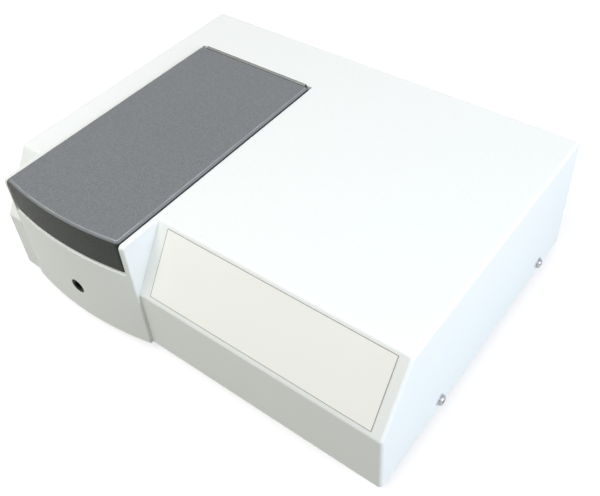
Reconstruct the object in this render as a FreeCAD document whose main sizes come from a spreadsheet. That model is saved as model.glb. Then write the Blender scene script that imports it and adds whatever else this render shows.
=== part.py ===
import FreeCAD, Part
import math
import os

import Sketcher
from FreeCAD import Placement, Rotation, Vector
from types import SimpleNamespace

# Bench transmission spectrophotometer: a white moulded cover over a steel base plate, a dark
# sample lid on a rear hinge, a black sample compartment, and the lamp, sphere, spectrometer
# and electronics that stand on the base plate. Lengths are millimetres.
# Each piece is drawn from one datum: x = 0 at mid width, y = 0 at the cover's flat front face
# and z = 0 at the cover's lower edge. The placements then set the datum so that the origin is
# under the middle of the whole object, at the level of the feet.

doc = FreeCAD.newDocument("Spectrophotometer")
sheet = doc.addObject("Spreadsheet::Sheet", "Sizes")

SIZES = [
    # cover
    ("cover_width", "440", "outside width of the cover"),
    ("cover_depth", "335", "flat front face to back face"),
    ("cover_height", "129", "lower edge to top face"),
    ("front_height", "67", "height of the upright front face"),
    ("slope_run", "40.5", "depth taken by the sloped panel"),
    ("cover_wall", "3", "wall of the cover"),
    ("edge_radius", "5", "rounding of the cover's edges from side to side"),
    ("side_radius", "3.5", "rounding round the cover's side faces"),
    # chamber block at the left of the cover
    ("block_side", "26.5", "cover's left side to the block"),
    ("block_width", "159", "outside width of the block"),
    ("block_bulge", "11.5", "flat front face to the foremost line of the block"),
    ("block_sag", "8.5", "depth of the block's bowed front"),
    ("block_radius", "4", "rounding of the block's top front edge"),
    ("block_corner", "1.5", "rounding of the block's upright edges"),
    ("cheek", "5", "wall beside the lid"),
    ("sill_height", "92", "top of the block's front wall"),
    ("recess_depth", "14", "top face down to the ledge under the lid"),
    ("ledge_wall", "3", "thickness of the ledge"),
    ("ledge_width", "9", "ledge from the cheek to the compartment"),
    # lid and its hinge
    ("lid_gap", "1", "gap round the lid"),
    ("lid_rise", "2.5", "lid's top above the cover"),
    ("lid_plate", "2.5", "thickness of the lid's plate"),
    ("lid_wall", "2.5", "thickness of the lid's skirt and rims"),
    ("lid_setback", "1.2", "lid's skirt behind the block's front"),
    ("lid_radius", "3", "rounding of the lid's top edge"),
    ("lid_corner", "4.5", "rounding of the lid's corners in plan"),
    ("rim_drop", "10.5", "lid's top down to the lower edge of its rims"),
    ("skirt_gap", "3", "skirt's lower edge above the sill"),
    ("hinge_y", "266", "flat front face back to the hinge pin"),
    ("knuckle_radius", "2.2", "outside radius of the hinge knuckles"),
    ("pin_radius", "1.25", "radius of the hinge pin"),
    ("running_gap", "0.05", "radial clearance on the hinge pin"),
    ("knuckle_pitch", "15", "one knuckle to the next"),
    ("knuckle_count", "9", "number of knuckles, an odd number"),
    ("knuckle_gap", "0.3", "clearance between knuckles"),
    ("leaf_wall", "1", "thickness of a hinge leaf"),
    ("leaf_height", "8.8", "hinge pin down to a leaf's edge"),
    ("rib_depth", "3", "ribs under the lid"),
    ("rib_width", "2", "thickness of a rib"),
    ("rib_spread", "44", "distance between the two long ribs"),
    ("magnet_radius", "4", "radius of the lid's magnet"),
    ("magnet_height", "3", "thickness of the lid's magnet"),
    ("magnet_y", "1.5", "flat front face back to the magnet"),
    ("magnet_inset", "2", "magnet below the lid's plate"),
    ("magnet_wall", "1", "wall of the magnet's boss"),
    ("sensor_width", "10", "width of the lid's sensor"),
    ("sensor_depth", "5", "depth of the lid's sensor"),
    ("sensor_height", "4", "height of the lid's sensor"),
    # compartment
    ("tub_wall", "2.5", "wall of the sample compartment"),
    ("tub_front", "9.5", "flat front face to the compartment"),
    ("tub_back", "248.5", "flat front face to the compartment's back"),
    ("tub_floor", "18", "underside of the compartment above the datum"),
    ("tub_fit", "0.5", "clearance of the compartment in the ledge"),
    ("tub_lip", "5", "top face down to the compartment's upper edge"),
    ("flange_width", "8", "flange that rests on the ledge"),
    ("flange_wall", "2.5", "thickness of that flange"),
    ("seal_grip", "4", "how far the seal reaches down the wall"),
    ("seal_wall", "1.5", "thickness of the seal beside the wall"),
    ("seal_gap", "0.3", "lid's underside above the seal"),
    ("beam_y", "105", "flat front face back to the light beam"),
    ("beam_drop", "59", "top face down to the light beam"),
    ("port_radius", "13", "radius of the light ports"),
    ("leg_radius", "5", "radius of the compartment's legs"),
    ("leg_spread_x", "100", "legs apart across"),
    ("leg_spread_y", "190", "legs apart front to back"),
    # front port
    ("front_port_z", "38", "height of the front port"),
    ("bush_radius", "8", "outside radius of the port's bush"),
    ("bush_bore", "4.5", "radius of the port's bore"),
    ("bush_flange", "11", "radius of the bush's inner flange"),
    ("bush_flange_wall", "2", "thickness of that flange"),
    ("bush_setback", "0.3", "bush behind the block's foremost line"),
    ("hole_gap", "0.1", "radial clearance of fixed pieces in their holes"),
    # cell holder
    ("rail_length", "110", "length of the cell holder's rail"),
    ("rail_width", "30", "width of the rail"),
    ("rail_drop", "23.5", "light beam down to the rail's top"),
    ("guide_width", "12", "width of the guide on the rail"),
    ("guide_height", "6", "height of the guide on the rail"),
    ("jaw_width", "44", "width of a jaw"),
    ("jaw_height", "45", "height of a jaw above the rail"),
    ("jaw_wall", "8", "thickness of a jaw"),
    ("jaw_bore", "9", "radius of the light hole in a jaw"),
    ("jaw_gap", "0.3", "clearance of the sliding jaw"),
    ("cell_gap", "12.9", "space between the jaws at rest"),
    ("jaw_margin", "3", "fixed jaw to the compartment's wall"),
    ("lock_radius", "5", "radius of the jaw lock's knob"),
    ("lock_head", "7", "length of the jaw lock's knob"),
    ("lock_stem", "1.9", "radius of the jaw lock's stem"),
    # lamp side
    ("barrel_radius", "16", "outside radius of the lens barrel"),
    ("barrel_length", "19", "length of the lens barrel"),
    ("barrel_wall", "3", "wall of the lens barrel"),
    ("barrel_flange", "22", "radius of the barrel's flange"),
    ("barrel_flange_wall", "2.5", "thickness of that flange"),
    ("lens_thickness", "7", "middle thickness of the lens"),
    ("lens_edge", "2.5", "edge thickness of the lens"),
    ("lens_setback", "4", "lens from the compartment's wall"),
    ("lamp_board_side", "34", "side of the lamp's board"),
    ("lamp_board_wall", "1.6", "thickness of the lamp's board"),
    ("lamp_chip", "5", "side of the light source"),
    ("sink_side", "58", "side of the heat sink"),
    ("sink_base", "3", "base of the heat sink"),
    ("fin_length", "7", "length of a fin"),
    ("fin_wall", "1.5", "thickness of a fin"),
    ("fin_count", "9", "number of fins"),
    # sphere
    ("sphere_radius", "42", "outside radius of the integrating sphere"),
    ("sphere_wall", "4", "wall of the sphere"),
    ("sphere_stand", "2", "sphere to the compartment's wall"),
    ("collar_radius", "17", "outside radius of the sphere's port collar"),
    ("sphere_flange", "50", "radius of the halves' flanges"),
    ("sphere_flange_wall", "3", "thickness of a flange"),
    ("sphere_bolts", "46", "radius of the flange's screw circle"),
    ("bracket_wall", "3", "thickness of the sphere's bracket"),
    ("bracket_width", "104", "width of the sphere's bracket"),
    ("bracket_foot", "26", "length of the bracket's foot"),
    ("exit_radius", "8", "radius of the sphere's exit port"),
    ("exit_tube", "11", "outside radius of the exit tube"),
    ("exit_gap", "1", "exit tube to the bracket"),
    # spectrometer
    ("box_width", "104", "width of the spectrometer's case"),
    ("box_depth", "84", "depth of the spectrometer's case"),
    ("box_height", "46", "height of the spectrometer's case"),
    ("box_wall", "5", "wall of the spectrometer's case"),
    ("box_front", "158", "flat front face back to the case"),
    ("box_lid", "3", "thickness of the case's lid"),
    ("box_post", "5", "radius of the posts under the case"),
    ("optic_height", "24", "height of the mirrors and the grating"),
    ("optic_width", "22", "width of the mirrors and the grating"),
    ("optic_wall", "6", "thickness of the mirrors and the grating"),
    ("optic_gap", "4", "mirrors to the case's back wall"),
    ("grating_gap", "14", "case's front wall to the middle of the grating"),
    ("slit_plate", "20", "side of the slit's plate"),
    ("slit_wall", "1", "thickness of the slit's plate"),
    ("slit_width", "0.5", "width of the slit"),
    ("slit_height", "6", "height of the slit"),
    ("detector_gap", "1", "detector's board to the case's side"),
    ("detector_width", "32", "width of the detector's board"),
    ("detector_height", "30", "height of the detector's board"),
    ("sensor_chip_width", "24", "width of the detector's chip"),
    ("sensor_chip_height", "8", "height of the detector's chip"),
    ("sensor_chip_wall", "2.5", "thickness of the detector's chip"),
    # base, feet and screws
    ("plate_wall", "1.5", "sheet of the base plate and the rear panel"),
    ("plate_gap", "0.6", "base plate inside the cover"),
    ("plate_flange", "26", "height of the base plate's side flanges"),
    ("foot_height", "12", "height of a foot"),
    ("foot_radius", "9", "radius of a foot"),
    ("foot_inset", "34", "feet in from the cover's sides"),
    ("foot_screw_radius", "2", "radius of the feet's screws"),
    ("side_screw_z", "12.5", "height of the side screws"),
    ("side_screw_front", "91", "flat front face back to the front side screws"),
    ("side_screw_back", "54", "cover's back face to the rear side screws"),
    ("side_screw_radius", "2.5", "radius of the side screws"),
    ("side_head_radius", "5", "radius of the side screws' heads"),
    ("side_head", "3.2", "height of the side screws' heads"),
    ("washer_radius", "6.2", "outside radius of the side washers"),
    ("washer_wall", "1", "thickness of the side washers"),
    ("nut_height", "4", "height of the nuts inside the flanges"),
    ("small_screw_radius", "1.5", "radius of the small screws"),
    ("small_head_radius", "2.7", "radius of the small screws' heads"),
    ("small_head", "1.8", "height of the small screws' heads"),
    # nameplate
    ("label_left", "12", "block to the bare nameplate"),
    ("label_right", "11.5", "nameplate to the cover's right side"),
    ("label_margin", "4.5", "slope above and below the nameplate"),
    ("label_wall", "0.5", "thickness of the nameplate"),
    # electronics
    ("board_gap", "0.4", "spectrometer case to the main board"),
    ("board_wall", "1.6", "thickness of the main board"),
    ("board_side", "20", "cover's right side to the main board"),
    ("board_front", "65", "flat front face to the main board"),
    ("board_back", "24", "main board to the power supply"),
    ("board_margin", "6", "main board's edge to its screws"),
    ("standoff_height", "10", "height of the standoffs"),
    ("standoff_radius", "3", "radius of the standoffs"),
    ("chip_side", "20", "side of the board's largest chip"),
    ("chip_wall", "2", "thickness of the board's chips"),
    ("header_width", "16", "width of the board's plug headers"),
    ("header_depth", "7", "depth of the plug headers"),
    ("header_height", "8", "height of the plug headers"),
    ("can_radius", "5", "radius of the board's capacitors"),
    ("can_height", "12", "height of the capacitors"),
    ("supply_gap", "20.9", "spectrometer case to the power supply"),
    ("supply_depth", "62", "depth of the power supply"),
    ("supply_height", "30", "height of the power supply"),
    ("supply_side", "20.5", "cover's right side to the power supply"),
    ("supply_back", "54", "cover's back face to the power supply"),
    ("supply_step", "0.55", "share of the supply's height cut away over its terminals"),
    ("supply_slots", "7", "vent slots in the power supply"),
    # rear panel
    ("panel_side", "16", "cover's right side to the rear opening"),
    ("panel_width", "142", "width of the rear opening"),
    ("panel_height", "62", "height of the rear opening"),
    ("panel_margin", "6", "rear panel beyond the opening"),
    ("panel_foot", "14", "rear panel's foot"),
    ("inlet_side", "40", "cover's right side to the middle of the power inlet"),
    ("inlet_z", "30", "height of the power inlet and the switch"),
    ("inlet_width", "27", "width of the power inlet's body"),
    ("inlet_height", "20", "height of the power inlet's body"),
    ("inlet_depth", "20", "depth of the power inlet's body"),
    ("inlet_rim", "2.5", "rim of the power inlet round its body"),
    ("inlet_rim_wall", "2", "thickness of the power inlet's rim"),
    ("inlet_wall", "1.5", "wall of the power inlet's socket"),
    ("inlet_socket_depth", "14", "depth of the power inlet's socket"),
    ("inlet_pin_width", "2", "width of an inlet pin"),
    ("inlet_pin_height", "4", "height of an inlet pin"),
    ("inlet_pin_pitch", "7", "middle pin to an outer pin, across"),
    ("inlet_pin_rise", "2", "pins above and below the socket's middle"),
    ("inlet_pin_setback", "2.5", "pins' ends behind the socket's mouth"),
    ("switch_side", "75", "cover's right side to the middle of the switch"),
    ("switch_width", "21", "width of the switch's body"),
    ("switch_height", "27", "height of the switch's body"),
    ("switch_depth", "18", "depth of the switch's body"),
    ("switch_wall", "1.5", "wall round the rocker"),
    ("rocker_gap", "0.4", "clearance round the rocker"),
    ("rocker_front", "4.4", "rocker's pin out to its front edges"),
    ("rocker_back", "2", "rocker's pin in to its back face"),
    ("rocker_hollow", "1.2", "depth of the rocker's hollow front"),
    ("rocker_pin", "1", "radius of the rocker's pins"),
    ("rocker_pin_length", "1", "length of a pin out of the rocker's side"),
    ("rear_proud", "2.5", "switch beyond the cover's back face"),
    ("usb_side", "120", "cover's right side to the middle of the data port"),
    ("usb_z", "24", "height of the data port"),
    ("usb_width", "12", "width of the data port"),
    ("usb_height", "11", "height of the data port"),
    ("usb_depth", "18", "depth of the data port"),
    ("usb_wall", "1.5", "wall of the data port"),
    ("usb_chamfer", "2", "cut corners of the data port's mouth"),
    ("usb_flange", "4", "data port's flange beyond its body"),
    ("usb_tongue_width", "5.6", "width of the data port's tongue"),
    ("usb_tongue_height", "3.2", "height of the data port's tongue"),
    ("slot_width", "3", "width of a vent slot"),
    ("slot_pitch", "8", "one vent slot to the next"),
    ("rear_slots", "7", "vent slots in the rear panel"),
    ("base_slots", "9", "vent slots in the base plate"),
]


class Length:
    """A length held both as the text of a sheet expression and as its present value."""

    def __init__(self, text, value):
        self.text = text
        self.value = value

    def joined(self, sign, other, value):
        return Length("(%s %s %s)" % (self.text, sign, as_length(other).text), value)

    def __add__(self, other):
        return self.joined("+", other, self.value + as_length(other).value)

    def __sub__(self, other):
        return self.joined("-", other, self.value - as_length(other).value)

    def __mul__(self, other):
        return self.joined("*", other, self.value * as_length(other).value)

    def __truediv__(self, other):
        return self.joined("/", other, self.value / as_length(other).value)

    def __radd__(self, other):
        return as_length(other) + self

    def __rsub__(self, other):
        return as_length(other) - self

    def __rmul__(self, other):
        return as_length(other) * self

    def __neg__(self):
        return as_length(0) - self


def as_length(value):
    """A plain number becomes a Length with no sheet cell behind it."""
    if isinstance(value, Length):
        return value
    return Length(repr(float(value)), float(value))


def root(length):
    """Square root of a Length."""
    return Length("sqrt(%s)" % length.text, math.sqrt(length.value))


def fill_sheet():
    """Put every size in the sheet under its alias and return them by name."""
    named = {}
    for row, (alias, value, note) in enumerate(SIZES, 1):
        sheet.set("A%d" % row, note)
        sheet.set("B%d" % row, value)
        sheet.setAlias("B%d" % row, alias)
        named[alias] = Length("Sizes." + alias, float(value))
    doc.recompute()
    return SimpleNamespace(**named)


d = fill_sheet()
pieces = []

# places that several pieces share
datum_y = (d.block_bulge - d.cover_depth - d.rear_proud) / 2
half_block = d.block_width / 2
block_x = half_block + d.block_side - d.cover_width / 2
bow_radius = (half_block * half_block + d.block_sag * d.block_sag) / (2 * d.block_sag)
bow_centre = bow_radius - d.block_bulge
half_recess = half_block - d.cheek
half_lid = half_recess - d.lid_gap
half_opening = half_recess - d.ledge_width
half_tub = half_opening - d.tub_fit
half_inner = half_tub - d.tub_wall
lid_top = d.cover_height + d.lid_rise
lid_under = lid_top - d.lid_plate
rim_bottom = lid_top - d.rim_drop
skirt_bottom = d.sill_height + d.skirt_gap
ledge_top = d.cover_height - d.recess_depth
hinge_z = lid_top - d.knuckle_radius
lid_back = d.hinge_y - d.knuckle_radius
recess_back = d.hinge_y + d.knuckle_radius
skirt_space = d.lid_setback + d.lid_wall + d.lid_gap
tub_top = d.cover_height - d.tub_lip
tub_middle = (d.tub_front + d.tub_back) / 2
floor_top = d.tub_floor + d.tub_wall
panel_face = d.cover_depth - d.cover_wall - 0.2
right_side = d.cover_width / 2
panel_right = right_side - d.panel_side
panel_left = panel_right - d.panel_width
beam_z = d.cover_height - d.beam_drop
slope_length = root(d.slope_run * d.slope_run
                    + (d.cover_height - d.front_height) * (d.cover_height - d.front_height))


def bow_end(half_width, inset):
    """Where the bowed front, set back by inset, crosses a line half_width from its middle."""
    return bow_centre - root((bow_radius - inset) * (bow_radius - inset)
                             - half_width * half_width)


def bind(thing, name, length):
    """Tie a property to the sheet."""
    thing.setExpression(name, as_length(length).text)


def new_body(label, x=0, y=0, z=0, turn=Rotation()):
    """An empty body whose own origin stands at a point of the datum."""
    body = doc.addObject("PartDesign::Body", label)
    body.Label = label
    body.Placement = Placement(Vector(), turn)
    bind(body, "Placement.Base.x", x)
    bind(body, "Placement.Base.y", datum_y + y)
    bind(body, "Placement.Base.z", d.foot_height + z)
    pieces.append(body)
    return body


def sketch_on(body, role, lift=0):
    """A sketch on one of the body's origin planes, lifted along the plane's normal."""
    plane = [item for item in body.Origin.OriginFeatures if item.Role == role][0]
    sketch = body.newObject("Sketcher::SketchObject", body.Label + "_sketch")
    sketch.AttachmentSupport = (plane, [""])
    sketch.MapMode = "FlatFace"
    bind(sketch, "AttachmentOffset.Base.z", lift)
    return sketch


def fix_point(sketch, item, point, x, y):
    """Hold a point of the sketch at x and y from the sketch's origin."""
    for axis, line, length in (("DistanceX", -2, x), ("DistanceY", -1, y)):
        length = as_length(length)
        if length.text == "0.0":
            sketch.addConstraint(Sketcher.Constraint("PointOnObject", item, point, line))
            continue
        mark = sketch.addConstraint(
            Sketcher.Constraint(axis, -1, 1, item, point, length.value))
        bind(sketch, "Constraints[%d]" % mark, length)


def outline(sketch, corners, bows=None):
    """A closed outline through corners. bows gives some sides, by number, a radius: the
    side from that corner to the next is then an arc that turns to the left of its chord."""
    bows = bows or {}
    spots = [Vector(as_length(x).value, as_length(y).value, 0) for x, y in corners]
    first = len(sketch.Geometry)
    for number, start in enumerate(spots):
        end = spots[(number + 1) % len(spots)]
        if number not in bows:
            sketch.addGeometry(Part.LineSegment(start, end))
            continue
        radius = bows[number].value
        chord = end - start
        side = Vector(-chord.y, chord.x, 0).normalize()
        centre = (start + end) / 2 + side * math.sqrt(radius ** 2 - (chord.Length / 2) ** 2)
        ring = Part.Circle(centre, Vector(0, 0, 1), radius)
        turns = [math.atan2(spot.y - centre.y, spot.x - centre.x) for spot in (start, end)]
        sketch.addGeometry(Part.ArcOfCircle(ring, turns[0], turns[1]))
    for number in range(len(spots)):
        following = first + (number + 1) % len(spots)
        sketch.addConstraint(Sketcher.Constraint("Coincident", first + number, 2, following, 1))
    for number, (x, y) in enumerate(corners):
        fix_point(sketch, first + number, 1, x, y)
    for number, radius in bows.items():
        mark = sketch.addConstraint(
            Sketcher.Constraint("Radius", first + number, radius.value))
        bind(sketch, "Constraints[%d]" % mark, radius)


def rectangle(sketch, left, right, low, high):
    outline(sketch, [(left, low), (right, low), (right, high), (left, high)])


def circles(sketch, centres, radius):
    """Equal circles at the given centres."""
    for x, y in centres:
        spot = Vector(as_length(x).value, as_length(y).value, 0)
        item = sketch.addGeometry(Part.Circle(spot, Vector(0, 0, 1), as_length(radius).value))
        fix_point(sketch, item, 3, x, y)
        mark = sketch.addConstraint(
            Sketcher.Constraint("Radius", item, as_length(radius).value))
        bind(sketch, "Constraints[%d]" % mark, radius)


def pad(body, sketch, length, midplane=False, back=False):
    """Extrude a sketch along its normal, or both ways, or back against the normal."""
    feature = body.newObject("PartDesign::Pad", body.Label + "_pad")
    feature.Profile = sketch
    bind(feature, "Length", length)
    feature.SideType = "Symmetric" if midplane else "One side"
    feature.Reversed = back
    sketch.Visibility = False
    doc.recompute()
    return feature


def pocket(body, sketch, length=None, midplane=False, forward=False):
    """Cut a sketch against its normal, or forward along it; right through if no length."""
    before = body.Tip.Shape
    feature = body.newObject("PartDesign::Pocket", body.Label + "_pocket")
    feature.Profile = sketch
    if length is None:
        feature.Type = "ThroughAll"
    else:
        bind(feature, "Length", length)
    feature.SideType = "Symmetric" if midplane else "One side"
    feature.Reversed = forward
    sketch.Visibility = False
    doc.recompute()
    tool = feature.AddSubShape.copy()
    tool.Placement = feature.Placement * tool.Placement
    if before.common(tool).Volume < 0.001:
        raise RuntimeError("a pocket of %s cuts nothing" % body.Label)
    return feature


def revolve(body, sketch, groove=False):
    """Turn a sketch about its own upright axis, as solid or as a cut."""
    kind = "PartDesign::Groove" if groove else "PartDesign::Revolution"
    feature = body.newObject(kind, body.Label + "_turned")
    feature.Profile = sketch
    feature.ReferenceAxis = (sketch, ["V_Axis"])
    feature.Angle = 360
    sketch.Visibility = False
    doc.recompute()
    return feature


def pattern(body, features, role, length, count):
    """Repeat features along one of the body's axes, over length in all."""
    axis = [item for item in body.Origin.OriginFeatures if item.Role == role][0]
    row = body.newObject("PartDesign::LinearPattern", body.Label + "_row")
    row.Originals = features
    row.Direction = (axis, [""])
    bind(row, "Length", length)
    bind(row, "Occurrences", count)
    body.Tip = row
    doc.recompute()
    return row


def ends(edge):
    return [vertex.Point for vertex in edge.Vertexes]


def soften(body, radius, wanted):
    """Round the edges that wanted picks."""
    tip = body.Tip
    names = ["Edge%d" % (number + 1) for number, edge in enumerate(tip.Shape.Edges)
             if wanted(edge)]
    if not names:
        raise RuntimeError("no edge of %s to round" % body.Label)
    feature = body.newObject("PartDesign::Fillet", body.Label + "_round")
    feature.Base = (tip, names)
    bind(feature, "Radius", radius)
    doc.recompute()
    if "Invalid" in feature.State or not feature.Shape.isValid():
        raise RuntimeError("the edges of %s can't be rounded" % body.Label)
    return feature


def same(value, length):
    return abs(value - as_length(length).value) < 0.01


def upright(edge):
    """True for a straight edge along z."""
    spots = ends(edge)
    return (len(spots) == 2 and abs(spots[0].x - spots[1].x) < 0.01
            and abs(spots[0].y - spots[1].y) < 0.01)


def at_height(edge, height):
    return all(same(spot.z, height) for spot in ends(edge))


def new_group(label):
    """A body that holds several like solids."""
    body = new_body(label)
    body.AllowCompound = True
    return body


def add_screws(body, role, lift, centres, radius, shank, head_radius, head, back=False):
    """Equal screws: heads rise from the plane, or fall back from it, and the shanks go the
    other way."""
    heads = sketch_on(body, role, lift)
    circles(heads, centres, head_radius)
    pad(body, heads, head, back=back)
    sign = -1 if back else 1
    level = as_length(lift) + sign * as_length(head)
    axis = {"XY_Plane": lambda spot: spot.z,
            "XZ_Plane": lambda spot: -spot.y,
            "YZ_Plane": lambda spot: spot.x}[role]
    soften(body, head * 0.4, lambda edge: all(same(axis(spot), level) for spot in ends(edge)))
    shanks = sketch_on(body, role, lift)
    circles(shanks, centres, radius)
    pad(body, shanks, shank, back=not back)


def bowed_outline(sketch, half_width, inset, back):
    """Plan of the chamber block, or of a piece inside it: bowed in front, square behind."""
    front = bow_end(half_width, inset)
    corners = [(block_x - half_width, front), (block_x + half_width, front),
               (block_x + half_width, back), (block_x - half_width, back)]
    outline(sketch, corners, {0: bow_radius - inset})


def inner_profile(sketch, low):
    """Side outline of the cover's hollow, one wall inside the outer outline."""
    rise = (d.cover_height - d.front_height) / d.slope_run
    drop = d.cover_wall * root(rise * rise + 1)
    top = d.cover_height - d.cover_wall
    knee = d.front_height + rise * d.cover_wall - drop
    crest = (top - d.front_height + drop) / rise
    outline(sketch, [(d.cover_wall, low), (d.cover_wall, knee), (crest, top),
                     (d.cover_depth - d.cover_wall, top), (d.cover_depth - d.cover_wall, low)])


def outer_profile(sketch):
    """Side outline of the cover: upright front, slope, top and back, with rounded corners."""
    rise = d.cover_height - d.front_height
    front = d.edge_radius * (slope_length - rise) / d.slope_run
    crest = d.edge_radius * (slope_length - d.slope_run) / rise
    across = d.slope_run / slope_length
    up = rise / slope_length
    outline(sketch, [(0, 0), (d.cover_depth, 0), (d.cover_depth, d.cover_height - d.edge_radius),
                     (d.cover_depth - d.edge_radius, d.cover_height),
                     (d.slope_run + crest, d.cover_height),
                     (d.slope_run - crest * across, d.cover_height - crest * up),
                     (front * across, d.front_height + front * up),
                     (0, d.front_height - front)],
            {2: d.edge_radius, 4: d.edge_radius, 6: d.edge_radius})


def is_side_edge(edge):
    """True for the outer edges of the cover's two side faces, apart from their foot."""
    half = d.cover_width.value / 2
    return all(same(abs(spot.x), half) for spot in ends(edge)) and not at_height(edge, 0)


def make_top_cover():
    """Moulded cover: one side outline drawn across the whole width, the chamber block with
    its bowed front, the recess for the lid with a ledge round the compartment, and the
    hollow that leaves one wall everywhere."""
    body = new_body("top_cover")
    block = sketch_on(body, "XY_Plane")
    bowed_outline(block, half_block, as_length(0), d.slope_run + d.edge_radius * 3)
    pad(body, block, d.cover_height)
    front = bow_end(half_block, as_length(0))
    soften(body, d.block_radius, lambda edge: at_height(edge, d.cover_height)
           and edge.CenterOfMass.y < front.value)
    soften(body, d.block_corner, lambda edge: upright(edge) and same(ends(edge)[0].y, front))
    side = sketch_on(body, "YZ_Plane")
    outer_profile(side)
    pad(body, side, d.cover_width, midplane=True)
    soften(body, d.side_radius, is_side_edge)

    hollow = sketch_on(body, "YZ_Plane")
    inner_profile(hollow, as_length(-1))
    pocket(body, hollow, d.cover_width - 2 * d.cover_wall, midplane=True)
    well = sketch_on(body, "XY_Plane", ledge_top - d.ledge_wall)
    rectangle(well, block_x - half_block, block_x + half_block, d.slope_run,
              recess_back + d.cover_wall)
    pad(body, well, d.recess_depth + d.ledge_wall - d.edge_radius / 4)

    # the block's own hollow, with a sill under the lid's skirt and a wall behind it
    inside = half_block - d.cover_wall
    lower = sketch_on(body, "XY_Plane", d.sill_height - d.ledge_wall)
    bowed_outline(lower, inside, d.cover_wall, d.slope_run + d.edge_radius)
    pocket(body, lower)
    upper = sketch_on(body, "XY_Plane", d.sill_height - d.ledge_wall)
    bowed_outline(upper, inside, skirt_space + d.cover_wall, d.slope_run + d.edge_radius)
    pocket(body, upper, ledge_top - d.sill_height, forward=True)

    recess = sketch_on(body, "XY_Plane", ledge_top)
    rectangle(recess, block_x - half_recess, block_x + half_recess, -d.block_bulge * 2,
              recess_back)
    pocket(body, recess, forward=True)
    skirt = sketch_on(body, "XY_Plane", d.sill_height)
    bowed_outline(skirt, half_recess, skirt_space, -d.block_bulge * 2)
    pocket(body, skirt, forward=True)
    return body


def finish_top_cover(body):
    """Openings and screw holes of the cover."""
    opening = sketch_on(body, "XY_Plane", ledge_top)
    rectangle(opening, block_x - half_opening, block_x + half_opening,
              d.tub_front - d.tub_fit, d.tub_back + d.tub_fit)
    pocket(body, opening, d.ledge_wall * 2)
    port = sketch_on(body, "XZ_Plane", d.block_bulge * 2)
    circles(port, [(block_x, d.front_port_z)], d.bush_radius + d.hole_gap)
    pocket(body, port, d.block_bulge * 2)
    rear = sketch_on(body, "XZ_Plane", -d.cover_depth - 1)
    rectangle(rear, panel_left, panel_right, -1, d.panel_height)
    pocket(body, rear, d.cover_wall + 2, forward=True)
    for sign in (-1, 1):
        holes = sketch_on(body, "YZ_Plane", sign * (d.cover_width / 2 + 1))
        circles(holes, side_screw_places(), d.side_screw_radius + d.hole_gap)
        pocket(body, holes, d.cover_wall + 2, forward=sign < 0)
    flange = sketch_on(body, "XY_Plane", ledge_top + 1)
    circles(flange, flange_screw_places(), d.small_screw_radius + d.hole_gap)
    pocket(body, flange, d.ledge_wall + 2)
    hinge = sketch_on(body, "XZ_Plane", -d.hinge_y)
    circles(hinge, hinge_screw_places(body_leaf=True), hinge_screw_radius + d.hole_gap)
    pocket(body, hinge, d.knuckle_radius + d.cover_wall + 1)


def side_screw_places():
    return [(y, d.side_screw_z) for y in (d.side_screw_front, d.cover_depth - d.side_screw_back)]


def flange_screw_places():
    """Three screws down each side of the compartment's flange."""
    reach = half_tub + d.flange_width / 2
    return [(block_x + side * reach, tub_middle + row * (d.tub_back - d.tub_front) * 0.38)
            for side in (-1, 1) for row in (-1, 0, 1)]


hinge_screw_radius = d.leaf_wall * 1.2
hinge_screw_z = hinge_z - d.leaf_height * 0.66


def hinge_screw_places(body_leaf):
    """Three screws on the lid's leaf and four on the cover's leaf, in between."""
    steps = (-3.5, -1.5, 1.5, 3.5) if body_leaf else (-2.5, 0, 2.5)
    return [(block_x + step * d.knuckle_pitch, hinge_screw_z) for step in steps]


def make_sample_lid():
    """Moulded lid: a plate with a bowed skirt in front, short rims on the other sides, two
    ribs and a boss that holds the magnet."""
    body = new_body("sample_lid")
    shell = sketch_on(body, "XY_Plane", skirt_bottom)
    bowed_outline(shell, half_lid, d.lid_setback, lid_back)
    pad(body, shell, lid_top - skirt_bottom)
    soften(body, d.lid_corner, upright)
    soften(body, d.lid_radius, lambda edge: at_height(edge, lid_top))
    inside = sketch_on(body, "XY_Plane", lid_under)
    inset = d.lid_setback + d.lid_wall
    bowed_outline(inside, half_lid - d.lid_wall, inset, lid_back - d.lid_wall)
    pocket(body, inside)
    below = sketch_on(body, "XY_Plane", rim_bottom)
    bowed_outline(below, half_lid + 1, inset, lid_back + 1)
    pocket(body, below)
    ribs = sketch_on(body, "XY_Plane", lid_under)
    margin = d.tub_wall + d.seal_wall * 3
    for sign in (-1, 1):
        middle = block_x + sign * d.rib_spread / 2
        rectangle(ribs, middle - d.rib_width / 2, middle + d.rib_width / 2,
                  d.tub_front + margin, d.tub_back - margin)
    pad(body, ribs, d.rib_depth, back=True)
    boss = sketch_on(body, "XY_Plane", lid_under)
    circles(boss, [(block_x, d.magnet_y)], d.magnet_radius + d.magnet_wall)
    pad(body, boss, d.magnet_height + d.magnet_inset, back=True)
    seat = sketch_on(body, "XY_Plane", lid_under - d.magnet_inset)
    circles(seat, [(block_x, d.magnet_y)], d.magnet_radius)
    pocket(body, seat)
    holes = sketch_on(body, "XZ_Plane", -lid_back - 1)
    circles(holes, hinge_screw_places(body_leaf=False), hinge_screw_radius + d.hole_gap)
    pocket(body, holes, d.lid_wall + 2, forward=True)


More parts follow.
